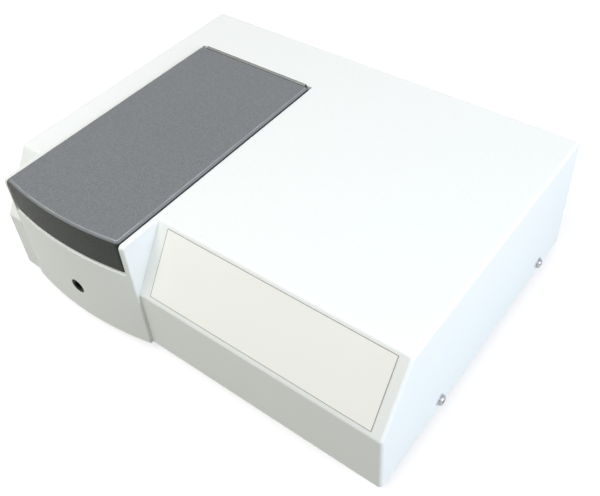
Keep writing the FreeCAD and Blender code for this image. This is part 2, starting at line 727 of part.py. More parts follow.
def make_hinge():
    """Continuous hinge: two leaves whose knuckles take turns on one long pin."""
    length = d.knuckle_count * d.knuckle_pitch - d.knuckle_gap
    for label, side, first in (("hinge_cover_leaf", 1, 0), ("hinge_lid_leaf", -1, 1)):
        body = new_body(label)
        edges = [d.hinge_y + side * (d.knuckle_radius - d.leaf_wall),
                 d.hinge_y + side * d.knuckle_radius]
        near, far = sorted(edges, key=lambda edge: edge.value)
        plate_top = hinge_z - d.knuckle_radius - 0.1
        plate = sketch_on(body, "YZ_Plane", block_x)
        rectangle(plate, near, far, hinge_z - d.leaf_height, plate_top)
        pad(body, plate, length, midplane=True)
        start = block_x + (first - d.knuckle_count / 2) * d.knuckle_pitch + d.knuckle_gap / 2
        knuckle = d.knuckle_pitch - d.knuckle_gap
        web = sketch_on(body, "YZ_Plane", start)
        rectangle(web, near, far, plate_top - 0.5, hinge_z)
        web_pad = pad(body, web, knuckle)
        ring = sketch_on(body, "YZ_Plane", start)
        circles(ring, [(d.hinge_y, hinge_z)], d.knuckle_radius)
        ring_pad = pad(body, ring, knuckle)
        own = (d.knuckle_count + 1) / 2 - first
        pattern(body, [web_pad, ring_pad], "X_Axis", (own - 1) * d.knuckle_pitch * 2, own)
        bore = sketch_on(body, "YZ_Plane", block_x)
        circles(bore, [(d.hinge_y, hinge_z)], d.pin_radius + d.running_gap)
        pocket(body, bore, length + 2, midplane=True)
        holes = sketch_on(body, "XZ_Plane", -d.hinge_y)
        circles(holes, hinge_screw_places(side > 0), hinge_screw_radius + d.hole_gap)
        pocket(body, holes, d.knuckle_radius * 2, forward=side < 0)
    pin = new_body("hinge_pin")
    rod = sketch_on(pin, "YZ_Plane", block_x)
    circles(rod, [(d.hinge_y, hinge_z)], d.pin_radius)
    pad(pin, rod, length, midplane=True)
    head_radius = hinge_screw_radius * 1.8
    head = d.knuckle_radius * 0.35
    fixed = new_group("hinge_cover_screws")
    add_screws(fixed, "XZ_Plane", d.leaf_wall - recess_back, hinge_screw_places(True),
               hinge_screw_radius, d.leaf_wall + d.cover_wall + 1, head_radius, head)
    moving = new_group("hinge_lid_screws")
    add_screws(moving, "XZ_Plane", -lid_back - d.leaf_wall, hinge_screw_places(False),
               hinge_screw_radius, d.leaf_wall + d.lid_wall, head_radius, head, back=True)


def make_lid_catch():
    """Magnet in the lid's boss and the sensor block below it on the ledge."""
    magnet = new_body("lid_magnet")
    disc = sketch_on(magnet, "XY_Plane", lid_under - d.magnet_inset)
    circles(disc, [(block_x, d.magnet_y)], d.magnet_radius - d.hole_gap)
    pad(magnet, disc, d.magnet_height, back=True)
    sensor = new_body("lid_sensor")
    block = sketch_on(sensor, "XY_Plane", ledge_top)
    rectangle(block, block_x - d.sensor_width / 2, block_x + d.sensor_width / 2,
              d.magnet_y - d.sensor_depth / 2, d.magnet_y + d.sensor_depth / 2)
    pad(sensor, block, d.sensor_height)
    soften(sensor, d.sensor_depth * 0.12, upright)


def make_sample_compartment():
    """Black moulded tub that hangs from the ledge by a flange and stands on four legs."""
    body = new_body("sample_compartment")
    tub = sketch_on(body, "XY_Plane", d.tub_floor)
    rectangle(tub, block_x - half_tub, block_x + half_tub, d.tub_front, d.tub_back)
    pad(body, tub, tub_top - d.tub_floor)
    flange = sketch_on(body, "XY_Plane", ledge_top)
    reach = half_tub + d.flange_width
    rectangle(flange, block_x - reach, block_x + reach, d.tub_front - d.flange_width * 0.6,
              d.tub_back + d.flange_width)
    pad(body, flange, d.flange_wall)
    soften(body, d.flange_width / 2, lambda edge: upright(edge)
           and same(edge.Length, d.flange_wall))
    inside = sketch_on(body, "XY_Plane", tub_top)
    rectangle(inside, block_x - half_inner, block_x + half_inner,
              d.tub_front + d.tub_wall, d.tub_back - d.tub_wall)
    pocket(body, inside, tub_top - floor_top)
    soften(body, d.tub_wall, lambda edge: upright(edge)
           and same(edge.Length, tub_top - floor_top))
    legs = sketch_on(body, "XY_Plane", d.tub_floor)
    circles(legs, leg_places(), d.leg_radius)
    pad(body, legs, d.tub_floor - d.plate_wall, back=True)
    ports = sketch_on(body, "YZ_Plane", block_x)
    circles(ports, [(d.beam_y, beam_z)], d.port_radius)
    pocket(body, ports, 2 * half_tub + 2, midplane=True)
    front = sketch_on(body, "XZ_Plane", 1 - d.tub_front)
    circles(front, [(block_x, d.front_port_z)], d.bush_radius + d.hole_gap)
    pocket(body, front, d.tub_wall + 2)
    holes = sketch_on(body, "XY_Plane", ledge_top + d.flange_wall)
    circles(holes, flange_screw_places(), d.small_screw_radius + d.hole_gap)
    pocket(body, holes, d.flange_wall)
    fixings = new_group("compartment_screws")
    add_screws(fixings, "XY_Plane", ledge_top + d.flange_wall, flange_screw_places(),
               d.small_screw_radius, d.flange_wall + d.ledge_wall + 2, d.small_head_radius,
               d.small_head)


def leg_places():
    return [(block_x + across * d.leg_spread_x / 2, tub_middle + along * d.leg_spread_y / 2)
            for across in (-1, 1) for along in (-1, 1)]


def make_lid_seal():
    """Rubber edging pushed on the compartment's upper edge."""
    body = new_body("lid_seal")
    low = tub_top - d.seal_grip
    ring = sketch_on(body, "XY_Plane", low)
    rectangle(ring, block_x - half_tub - d.seal_wall, block_x + half_tub + d.seal_wall,
              d.tub_front - d.seal_wall, d.tub_back + d.seal_wall)
    reach = half_inner - d.seal_wall
    rectangle(ring, block_x - reach, block_x + reach,
              d.tub_front + d.tub_wall + d.seal_wall, d.tub_back - d.tub_wall - d.seal_wall)
    pad(body, ring, lid_under - d.seal_gap - low)
    groove = sketch_on(body, "XY_Plane", low)
    rectangle(groove, block_x - half_tub, block_x + half_tub, d.tub_front, d.tub_back)
    rectangle(groove, block_x - half_inner, block_x + half_inner,
              d.tub_front + d.tub_wall, d.tub_back - d.tub_wall)
    pocket(body, groove, d.seal_grip, forward=True)
    soften(body, d.tub_wall, lambda edge: upright(edge)
           and same(abs(ends(edge)[0].x - block_x.value), half_inner))


def make_front_port():
    """Black bush that lines the way from the block's front into the compartment."""
    body = new_body("front_port_bush")
    outer = sketch_on(body, "XZ_Plane", d.block_bulge - d.bush_setback)
    circles(outer, [(block_x, d.front_port_z)], d.bush_radius)
    pad(body, outer, d.block_bulge - d.bush_setback + d.tub_front + d.tub_wall, back=True)
    flange = sketch_on(body, "XZ_Plane", d.block_bulge - d.cover_wall - d.bush_setback)
    circles(flange, [(block_x, d.front_port_z)], d.bush_flange)
    pad(body, flange, d.bush_flange_wall, back=True)
    bore = sketch_on(body, "XZ_Plane", d.block_bulge)
    circles(bore, [(block_x, d.front_port_z)], d.bush_bore)
    pocket(body, bore)
    mouth = d.bush_setback - d.block_bulge
    soften(body, (d.bush_radius - d.bush_bore) * 0.4, lambda edge: len(edge.Vertexes) == 1
           and same(ends(edge)[0].y, mouth) and same(edge.Length, d.bush_bore * 2 * math.pi))


rail_right = block_x + half_inner - d.jaw_margin
rail_top = beam_z - d.rail_drop
guide_top = rail_top + d.guide_height
guide_flare = d.guide_height * 0.4


def guide_corners(gap):
    """The dovetail's corners above the rail, from right to left, widened by gap."""
    foot = d.guide_width / 2 + gap
    head = foot + guide_flare
    return [(d.beam_y + foot, rail_top), (d.beam_y + head, guide_top + gap),
            (d.beam_y - head, guide_top + gap), (d.beam_y - foot, rail_top)]


def make_jaw(label, right, gap, low):
    """A plate astride the dovetail, with a hole for the light."""
    body = new_body(label)
    side = sketch_on(body, "YZ_Plane", right)
    half = d.jaw_width / 2
    slot = guide_corners(gap)
    corners = [(d.beam_y + half, low), (d.beam_y + half, rail_top + d.jaw_height),
               (d.beam_y - half, rail_top + d.jaw_height), (d.beam_y - half, low)]
    outline(side, corners + [(slot[3][0], low), slot[2], slot[1], (slot[0][0], low)])
    pad(body, side, d.jaw_wall, back=True)
    soften(body, d.jaw_wall / 2, lambda edge: at_height(edge, rail_top + d.jaw_height)
           and abs(ends(edge)[0].x - ends(edge)[1].x) > 1)
    hole = sketch_on(body, "YZ_Plane", right)
    circles(hole, [(d.beam_y, beam_z)], d.jaw_bore)
    pocket(body, hole)
    return body


def make_cell_holder():
    """Rail with a dovetail on the compartment's floor, a fixed jaw, a sliding jaw and the
    knob that locks it."""
    rail = new_body("cell_rail")
    profile = sketch_on(rail, "YZ_Plane", rail_right)
    half = d.rail_width / 2
    outline(profile, [(d.beam_y - half, floor_top), (d.beam_y + half, floor_top),
                      (d.beam_y + half, rail_top)] + guide_corners(as_length(0))
            + [(d.beam_y - half, rail_top)])
    pad(rail, profile, d.rail_length, back=True)
    make_jaw("cell_fixed_jaw", rail_right, d.hole_gap, rail_top)
    right = rail_right - d.jaw_wall - d.cell_gap
    jaw = make_jaw("cell_sliding_jaw", right, d.jaw_gap, rail_top + d.jaw_gap)
    level = rail_top + d.guide_height / 2
    front = d.jaw_width / 2 - d.beam_y
    spot = [(right - d.jaw_wall / 2, level)]
    hole = sketch_on(jaw, "XZ_Plane", front + 1)
    circles(hole, spot, d.lock_stem + d.running_gap)
    pocket(jaw, hole, d.jaw_width / 2 - d.guide_width / 2)
    lock = new_body("jaw_lock_knob")
    knob = sketch_on(lock, "XZ_Plane", front + d.jaw_gap)
    circles(knob, spot, d.lock_radius)
    pad(lock, knob, d.lock_head)
    outer = -front - d.jaw_gap - d.lock_head
    soften(lock, d.lock_head * 0.1, lambda edge: same(ends(edge)[0].y, outer))
    stem = sketch_on(lock, "XZ_Plane", front + d.jaw_gap + d.lock_head / 2)
    circles(stem, spot, d.lock_stem)
    reach = d.jaw_width / 2 - d.guide_width / 2 - guide_flare - d.jaw_gap
    pad(lock, stem, reach + d.lock_head / 2, back=True)


lamp_x = block_x - half_tub
board_x = lamp_x - d.barrel_length
sink_x = board_x - d.lamp_board_wall


def square(sketch, side):
    """A square about the light beam."""
    rectangle(sketch, d.beam_y - side / 2, d.beam_y + side / 2,
              beam_z - side / 2, beam_z + side / 2)


def make_lamp():
    """Lens barrel on the compartment's left wall, with the lamp and its heat sink behind."""
    beam = [(d.beam_y, beam_z)]
    barrel = new_body("lens_barrel")
    tube = sketch_on(barrel, "YZ_Plane", lamp_x)
    circles(tube, beam, d.barrel_radius)
    pad(barrel, tube, d.barrel_length, back=True)
    flange = sketch_on(barrel, "YZ_Plane", lamp_x)
    circles(flange, beam, d.barrel_flange)
    pad(barrel, flange, d.barrel_flange_wall, back=True)
    bore = sketch_on(barrel, "YZ_Plane", lamp_x)
    circles(bore, beam, d.barrel_radius - d.barrel_wall)
    pocket(barrel, bore)

    radius = d.barrel_radius - d.barrel_wall - d.hole_gap
    bow = d.lens_thickness - d.lens_edge
    lens = new_body("collimator_lens", lamp_x - d.lens_thickness - d.lens_setback, d.beam_y, beam_z,
                    Rotation(Vector(0, 1, 0), 90))
    half = sketch_on(lens, "XZ_Plane")
    outline(half, [(0, 0), (radius, 0), (radius, d.lens_edge), (0, d.lens_thickness)],
            {2: (radius * radius + bow * bow) / (2 * bow)})
    revolve(lens, half)

    board = new_body("lamp_board")
    plate = sketch_on(board, "YZ_Plane", board_x)
    square(plate, d.lamp_board_side)
    pad(board, plate, d.lamp_board_wall, back=True)
    lamp = new_body("lamp_chip")
    chip = sketch_on(lamp, "YZ_Plane", board_x)
    square(chip, d.lamp_chip)
    pad(lamp, chip, d.lamp_chip * 0.3)
    dome = sketch_on(lamp, "YZ_Plane", board_x)
    circles(dome, beam, d.lamp_chip * 0.4)
    pad(lamp, dome, d.lamp_chip * 0.6)
    top = board_x + d.lamp_chip * 0.6
    soften(lamp, d.lamp_chip * 0.25, lambda edge: same(ends(edge)[0].x, top))

    sink = new_body("lamp_heat_sink")
    base = sketch_on(sink, "YZ_Plane", sink_x)
    square(base, d.sink_side)
    pad(sink, base, d.sink_base, back=True)
    fin = sketch_on(sink, "YZ_Plane", sink_x - d.sink_base)
    start = d.beam_y - d.sink_side / 2
    rectangle(fin, start, start + d.fin_wall, beam_z - d.sink_side / 2,
              beam_z + d.sink_side / 2)
    blade = pad(sink, fin, d.fin_length, back=True)
    pattern(sink, [blade], "Y_Axis", d.sink_side - d.fin_wall, d.fin_count)


sphere_x = block_x + half_tub + d.sphere_stand + d.sphere_radius
exit_offset = d.sphere_flange_wall + d.bracket_wall + d.exit_tube + d.exit_gap
exit_x = sphere_x + exit_offset


def sphere_screw_places():
    reach = d.sphere_bolts * math.sqrt(0.5)
    return [(d.beam_y + across * reach, beam_z + up * reach)
            for across in (-1, 1) for up in (-1, 1)]


def make_sphere():
    """Integrating sphere in two flanged halves: the near half has the sample port's collar,
    the far half the exit tube to the spectrometer."""
    turn = Rotation(Vector(0, 1, 0), 90)
    inner = d.sphere_radius - d.sphere_wall
    step = root(d.sphere_radius * d.sphere_radius - d.sphere_flange_wall * d.sphere_flange_wall)
    near = new_body("sphere_near_half", sphere_x, d.beam_y, beam_z, turn)
    half = sketch_on(near, "XZ_Plane")
    shoulder = root(d.sphere_radius * d.sphere_radius - d.collar_radius * d.collar_radius)
    end = -d.sphere_radius - d.sphere_stand
    outline(half, [(0, end), (d.collar_radius, end), (d.collar_radius, -shoulder),
                   (step, -d.sphere_flange_wall), (d.sphere_flange, -d.sphere_flange_wall),
                   (d.sphere_flange, 0), (0, 0)], {2: d.sphere_radius})
    revolve(near, half)
    hollow = sketch_on(near, "XZ_Plane")
    outline(hollow, [(0, -inner), (inner, 0), (0, 0)], {0: inner})
    revolve(near, hollow, groove=True)
    port = sketch_on(near, "XY_Plane", -d.sphere_radius * 0.5)
    circles(port, [(0, 0)], d.port_radius)
    pocket(near, port)

    far = new_body("sphere_far_half", sphere_x, d.beam_y, beam_z, turn)
    half = sketch_on(far, "XZ_Plane")
    outline(half, [(0, 0), (d.sphere_flange, 0), (d.sphere_flange, d.sphere_flange_wall),
                   (step, d.sphere_flange_wall), (0, d.sphere_radius)], {3: d.sphere_radius})
    revolve(far, half)
    tube = sketch_on(far, "XZ_Plane")
    circles(tube, [(0, exit_offset)], d.exit_tube)
    pad(far, tube, d.box_front - d.beam_y, back=True)
    hollow = sketch_on(far, "XZ_Plane")
    outline(hollow, [(0, 0), (inner, 0), (0, inner)], {1: inner})
    revolve(far, hollow, groove=True)
    way = sketch_on(far, "XZ_Plane", -inner * 0.5)
    circles(way, [(0, exit_offset)], d.exit_radius)
    pocket(far, way)
    for body, lift, forward in ((near, 1, False), (far, -1, True)):
        holes = sketch_on(body, "XY_Plane", lift)
        places = [(beam_z - z, y - d.beam_y) for y, z in sphere_screw_places()]
        circles(holes, places, d.small_screw_radius + d.hole_gap)
        pocket(body, holes, d.sphere_flange_wall + 2, forward=forward)

    bracket = new_body("sphere_bracket")
    face = sphere_x + d.sphere_flange_wall
    plate = sketch_on(bracket, "YZ_Plane", face)
    half_width = d.bracket_width / 2
    rectangle(plate, d.beam_y - half_width, d.beam_y + half_width, d.plate_wall,
              beam_z + d.sphere_flange + 2)
    pad(bracket, plate, d.bracket_wall)
    foot = sketch_on(bracket, "XY_Plane", d.plate_wall)
    rectangle(foot, face, face + d.bracket_foot, d.beam_y - half_width, d.beam_y + half_width)
    pad(bracket, foot, d.bracket_wall)
    ring = sketch_on(bracket, "YZ_Plane", face)
    circles(ring, [(d.beam_y, beam_z)], d.sphere_radius + 0.4)
    circles(ring, sphere_screw_places(), d.small_screw_radius + d.hole_gap)
    pocket(bracket, ring, d.bracket_wall * 2, forward=True)
    bolts = new_group("sphere_screws")
    add_screws(bolts, "YZ_Plane", sphere_x - d.sphere_flange_wall, sphere_screw_places(),
               d.small_screw_radius, 2 * d.sphere_flange_wall + d.bracket_wall + 2,
               d.small_head_radius, d.small_head, back=True)


box_left = exit_x - d.box_width * 0.36
box_right = box_left + d.box_width
box_back = d.box_front + d.box_depth
box_low = beam_z - d.box_height / 2
box_top = box_low + d.box_height
optic_floor = box_low + d.box_wall


def make_optic(label, x, y, angle, bowed):
    """A mirror or grating blank on the case's floor, turned about its upright axis."""
    body = new_body(label, x, y, optic_floor, Rotation(Vector(0, 0, 1), angle))
    blank = sketch_on(body, "XY_Plane")
    rectangle(blank, -d.optic_width / 2, d.optic_width / 2, 0, d.optic_wall)
    pad(body, blank, d.optic_height)
    if bowed:
        radius = d.optic_width * 4
        face = sketch_on(body, "XY_Plane")
        circles(face, [(0, d.optic_wall * 0.2 - radius)], radius)
        pocket(body, face, forward=True)
    soften(body, d.optic_wall * 0.1, upright)


def make_spectrometer():
    """Sealed case on four posts: slit, two mirrors, grating and detector board."""
    case = new_body("spectrometer_case")
    block = sketch_on(case, "XY_Plane", box_low)
    rectangle(block, box_left, box_right, d.box_front, box_back)
    pad(case, block, d.box_height)
    soften(case, d.box_wall * 0.8, upright)
    room = sketch_on(case, "XY_Plane", optic_floor)
    rectangle(room, box_left + d.box_wall, box_right - d.box_wall, d.box_front + d.box_wall,
              box_back - d.box_wall)
    pocket(case, room, forward=True)
    way = sketch_on(case, "XZ_Plane", 1 - d.box_front)
    circles(way, [(exit_x, beam_z)], d.exit_radius)
    pocket(case, way, d.box_wall + 2)
    lid = new_body("spectrometer_lid")
    plate = sketch_on(lid, "XY_Plane", box_top)
    rectangle(plate, box_left, box_right, d.box_front, box_back)
    pad(lid, plate, d.box_lid)
    soften(lid, d.box_wall * 0.8, upright)
    posts = new_group("spectrometer_posts")
    feet = sketch_on(posts, "XY_Plane", d.plate_wall)
    inset = d.box_post * 1.6
    circles(feet, [(x, y) for x in (box_left + inset, box_right - inset)
                   for y in (d.box_front + inset, box_back - inset)], d.box_post)
    pad(posts, feet, box_low - d.plate_wall)

    slit = new_body("entrance_slit")
    front = d.box_front + d.box_wall
    plate = sketch_on(slit, "XZ_Plane", -front)
    half = d.slit_plate / 2
    rectangle(plate, exit_x - half, exit_x + half, beam_z - half, beam_z + half)
    pad(slit, plate, d.slit_wall, back=True)
    gap = sketch_on(slit, "XZ_Plane", -front)
    rectangle(gap, exit_x - d.slit_width / 2, exit_x + d.slit_width / 2,
              beam_z - d.slit_height / 2, beam_z + d.slit_height / 2)
    pocket(slit, gap)
    back = box_back - d.box_wall - d.optic_wall - d.optic_gap
    make_optic("collimating_mirror", exit_x + d.box_width * 0.04, back, -8, True)
    make_optic("focusing_mirror", exit_x + d.box_width * 0.36, back, 8, True)
    make_optic("diffraction_grating", exit_x + d.box_width * 0.16, front + d.grating_gap, 205,
               False)
    detector = new_body("detector_board")
    plate = sketch_on(detector, "XZ_Plane", -front)
    right = box_right - d.box_wall - d.detector_gap
    rectangle(plate, right - d.detector_width, right, optic_floor,
              optic_floor + d.detector_height)
    pad(detector, plate, d.board_wall, back=True)
    chip = sketch_on(detector, "XZ_Plane", -front - d.board_wall)
    middle = right - d.detector_width / 2
    rectangle(chip, middle - d.sensor_chip_width / 2, middle + d.sensor_chip_width / 2,
              beam_z - d.sensor_chip_height / 2, beam_z + d.sensor_chip_height / 2)
    pad(detector, chip, d.sensor_chip_wall, back=True)


half_plate = d.cover_width / 2 - d.cover_wall - d.plate_gap
rear_foot_y = panel_face - d.plate_wall - d.panel_foot / 2


def foot_places():
    return [(across * (d.cover_width / 2 - d.foot_inset), y)
            for across in (-1, 1) for y in (d.foot_inset, d.cover_depth - d.foot_inset)]


board_right = right_side - d.board_side
board_left = box_right + d.board_gap
board_width = board_right - board_left
supply_back = d.cover_depth - d.supply_back
supply_front = supply_back - d.supply_depth
board_back = supply_front - d.board_back
board_depth = board_back - d.board_front


def board_places():
    return [(x, y) for x in (board_left + d.board_margin, board_right - d.board_margin)
            for y in (d.board_front + d.board_margin, board_back - d.board_margin)]


def panel_screw_places():
    return [(x, rear_foot_y) for x in (panel_left + d.panel_margin,
                                       panel_right - d.panel_margin)]


def make_base_plate():
    """Folded steel tray: floor with a bowed tab under the block, flanges that the side screws
    pull the cover against, and a row of vent slots."""
    body = new_body("base_plate")
    inset = d.cover_wall + d.plate_gap
    floor = sketch_on(body, "XY_Plane")
    reach = half_block - inset
    front = bow_end(reach, inset)
    outline(floor, [(-half_plate, inset), (block_x - reach, inset), (block_x - reach, front),
                    (block_x + reach, front), (block_x + reach, inset), (half_plate, inset),
                    (half_plate, panel_face - d.plate_wall),
                    (-half_plate, panel_face - d.plate_wall)], {2: bow_radius - inset})
    pad(body, floor, d.plate_wall)
    sides = sketch_on(body, "XY_Plane")
    for sign in (-1, 1):
        near, far = sorted([sign * half_plate, sign * (half_plate - d.plate_wall)],
                           key=lambda edge: edge.value)
        rectangle(sides, near, far, inset * 4, panel_face - inset * 2)
    pad(body, sides, d.plate_flange)
    slots = sketch_on(body, "XY_Plane", d.plate_wall)
    start = board_left + d.slot_pitch
    rectangle(slots, start, start + d.slot_width, d.board_front + board_depth / 4,
              board_back - board_depth / 4)
    slot = pocket(body, slots, d.plate_wall + 1)
    pattern(body, [slot], "X_Axis", (d.base_slots - 1) * d.slot_pitch * 1.2, d.base_slots)
    holes = sketch_on(body, "XY_Plane", d.plate_wall)
    circles(holes, foot_places(), d.foot_screw_radius + d.hole_gap)
    circles(holes, panel_screw_places(), d.small_screw_radius + d.hole_gap)
    pocket(body, holes, d.plate_wall + 1)
    for sign in (-1, 1):
        holes = sketch_on(body, "YZ_Plane", sign * (half_plate + 1))
        circles(holes, side_screw_places(), d.side_screw_radius + d.hole_gap)
        pocket(body, holes, d.plate_wall + 2, forward=sign < 0)


def make_side_fixings():
    """Pan head screws with washers low on both sides, and the nuts inside the flanges."""
    fixings = new_group("cover_screws")
    washers = new_group("cover_washers")
    nuts = new_group("cover_nuts")
    face = d.cover_width / 2
    for sign in (-1, 1):
        left = sign < 0
        add_screws(fixings, "YZ_Plane", sign * (face + d.washer_wall), side_screw_places(),
                   d.side_screw_radius, d.washer_wall + d.cover_wall + d.plate_wall + 6,
                   d.side_head_radius, d.side_head, back=left)
        ring = sketch_on(washers, "YZ_Plane", sign * face)
        circles(ring, side_screw_places(), d.washer_radius)
        circles(ring, side_screw_places(), d.side_screw_radius + d.hole_gap)
        pad(washers, ring, d.washer_wall, back=left)
        ring = sketch_on(nuts, "YZ_Plane", sign * (half_plate - d.plate_wall))
        circles(ring, side_screw_places(), d.side_screw_radius * 1.8)
        circles(ring, side_screw_places(), d.side_screw_radius + d.hole_gap)
        pad(nuts, ring, d.nut_height, back=not left)


def make_feet():
    """Four rubber feet, each held by a screw from below."""
    feet = new_group("rubber_feet")
    discs = sketch_on(feet, "XY_Plane")
    circles(discs, foot_places(), d.foot_radius)
    pad(feet, discs, d.foot_height, back=True)
    soften(feet, d.foot_radius * 0.15, lambda edge: at_height(edge, -d.foot_height))
    wells = sketch_on(feet, "XY_Plane", -d.foot_height / 2)
    circles(wells, foot_places(), d.foot_screw_radius * 2)
    pocket(feet, wells)
    holes = sketch_on(feet, "XY_Plane")
    circles(holes, foot_places(), d.foot_screw_radius + d.hole_gap)
    pocket(feet, holes)
    fixings = new_group("foot_screws")
    add_screws(fixings, "XY_Plane", -d.foot_height / 2, foot_places(), d.foot_screw_radius,
               d.foot_height / 2 + d.plate_wall + 3, d.foot_screw_radius * 1.8,
               d.foot_screw_radius * 1.2, back=True)


def make_nameplate():
    """Bare plate stuck on the slope."""
    body = new_body("nameplate")
    along_y = d.slope_run / slope_length
    along_z = (d.cover_height - d.front_height) / slope_length
    side = sketch_on(body, "YZ_Plane", block_x + half_block + d.label_left)
    end = slope_length - d.label_margin

    def spot(distance, height):
        return (along_y * distance - along_z * height,
                d.front_height + along_z * distance + along_y * height)

    outline(side, [spot(d.label_margin, as_length(0)), spot(end, as_length(0)),
                   spot(end, d.label_wall), spot(d.label_margin, d.label_wall)])
    pad(body, side, right_side - d.label_right - block_x - half_block - d.label_left)


def make_electronics():
    """Main board on standoffs with its larger parts, and the power supply behind it."""
    standoffs = new_group("board_standoffs")
    posts = sketch_on(standoffs, "XY_Plane", d.plate_wall)
    circles(posts, board_places(), d.standoff_radius)
    pad(standoffs, posts, d.standoff_height)
    bores = sketch_on(standoffs, "XY_Plane", d.plate_wall + d.standoff_height)
    circles(bores, board_places(), d.small_screw_radius + d.hole_gap)
    pocket(standoffs, bores, d.standoff_height * 0.7)
    low = d.plate_wall + d.standoff_height
    top = low + d.board_wall
    board = new_body("main_board")
    plate = sketch_on(board, "XY_Plane", low)
    rectangle(plate, board_left, board_right, d.board_front, board_back)
    pad(board, plate, d.board_wall)
    holes = sketch_on(board, "XY_Plane", top)
    circles(holes, board_places(), d.small_screw_radius + d.hole_gap)
    pocket(board, holes)
    fixings = new_group("board_screws")
    add_screws(fixings, "XY_Plane", top, board_places(), d.small_screw_radius,
               d.board_wall + d.standoff_height * 0.6, d.small_head_radius, d.small_head)
    parts = new_group("board_parts")
    chips = sketch_on(parts, "XY_Plane", top)
    for across, along, share in ((0.3, 0.35, 1), (0.7, 0.3, 0.7), (0.6, 0.65, 0.6)):
        x = board_left + across * board_width
        y = d.board_front + along * board_depth
        reach = d.chip_side * share / 2
        rectangle(chips, x - reach, x + reach, y - reach, y + reach)
    pad(parts, chips, d.chip_wall)
    headers = sketch_on(parts, "XY_Plane", top)
    back = board_back - d.small_head_radius
    for across in (0.25, 0.5, 0.75):
        x = board_left + across * board_width
        rectangle(headers, x - d.header_width / 2, x + d.header_width / 2,
                  back - d.header_depth, back)
    pad(parts, headers, d.header_height)
    cans = sketch_on(parts, "XY_Plane", top)
    circles(cans, [(board_left + across * board_width, d.board_front + board_depth * 0.62)
                   for across in (0.15, 0.3, 0.85)], d.can_radius)
    pad(parts, cans, d.can_height)

    supply = new_body("power_supply")
    case = sketch_on(supply, "XY_Plane", d.plate_wall)
    right = right_side - d.supply_side
    left = box_right + d.supply_gap
    width = right - left
    top = d.plate_wall + d.supply_height
    rectangle(case, left, right, supply_front, supply_back)
    pad(supply, case, d.supply_height)
    step = sketch_on(supply, "XY_Plane", top)
    rectangle(step, left - 1, left + width * 0.16, supply_front - 1, supply_back + 1)
    pocket(supply, step, d.supply_height * d.supply_step)
    vents = sketch_on(supply, "XY_Plane", top)
    rectangle(vents, left + width * 0.3, left + width * 0.3 + d.slot_width,
              supply_front + d.supply_depth * 0.2, supply_back - d.supply_depth * 0.2)
    vent = pocket(supply, vents, d.slot_width / 2)
    pattern(supply, [vent], "X_Axis", width * 0.56, d.supply_slots)


inlet_low = d.inlet_z - d.inlet_height / 2
inlet_x = right_side - d.inlet_side
inlet_left = inlet_x - d.inlet_width / 2
switch_x = right_side - d.switch_side
switch_left = switch_x - d.switch_width / 2
switch_low = d.inlet_z - d.switch_height / 2
usb_x = right_side - d.usb_side
usb_left = usb_x - d.usb_width / 2
usb_low = d.usb_z - d.usb_height / 2
rim = d.inlet_rim
rim_face = panel_face + d.inlet_rim_wall


def panel_cutouts(sketch, gap):
    """The rear panel's three cut-outs."""
    rectangle(sketch, inlet_left - gap, inlet_left + d.inlet_width + gap, inlet_low - gap,
              inlet_low + d.inlet_height + gap)
    rectangle(sketch, switch_left - gap, switch_left + d.switch_width + gap, switch_low - gap,
              switch_low + d.switch_height + gap)
    rectangle(sketch, usb_left - gap, usb_left + d.usb_width + gap, usb_low - gap,
              usb_low + d.usb_height + gap)


def make_rear_panel():
    """Steel panel inside the cover's rear opening, on a folded foot, with vent slots."""
    body = new_body("rear_panel")
    plate = sketch_on(body, "XZ_Plane", -panel_face)
    left = panel_left - d.panel_margin
    right = panel_right + d.panel_margin
    rectangle(plate, left, right, d.plate_wall, d.panel_height + d.panel_margin)
    pad(body, plate, d.plate_wall)
    foot = sketch_on(body, "XY_Plane", d.plate_wall)
    rectangle(foot, left, right, panel_face - d.plate_wall - d.panel_foot, panel_face)
    pad(body, foot, d.plate_wall)
    cuts = sketch_on(body, "XZ_Plane", -panel_face)
    panel_cutouts(cuts, d.hole_gap)
    pocket(body, cuts, d.plate_wall + 2, forward=True)
    slots = sketch_on(body, "XZ_Plane", -panel_face)
    start = panel_left + d.slot_width * 2
    rectangle(slots, start, start + d.slot_width, d.panel_height * 0.72, d.panel_height * 0.92)
    slot = pocket(body, slots, d.plate_wall + 1, forward=True)
    pattern(body, [slot], "X_Axis", (d.rear_slots - 1) * d.slot_pitch, d.rear_slots)
    holes = sketch_on(body, "XY_Plane", d.plate_wall * 2)
    circles(holes, panel_screw_places(), d.small_screw_radius + d.hole_gap)
    pocket(body, holes, d.plate_wall * 1.5)
    fixings = new_group("rear_panel_screws")
    add_screws(fixings, "XY_Plane", d.plate_wall * 2, panel_screw_places(),
               d.small_screw_radius, d.plate_wall * 2, d.small_head_radius, d.small_head)


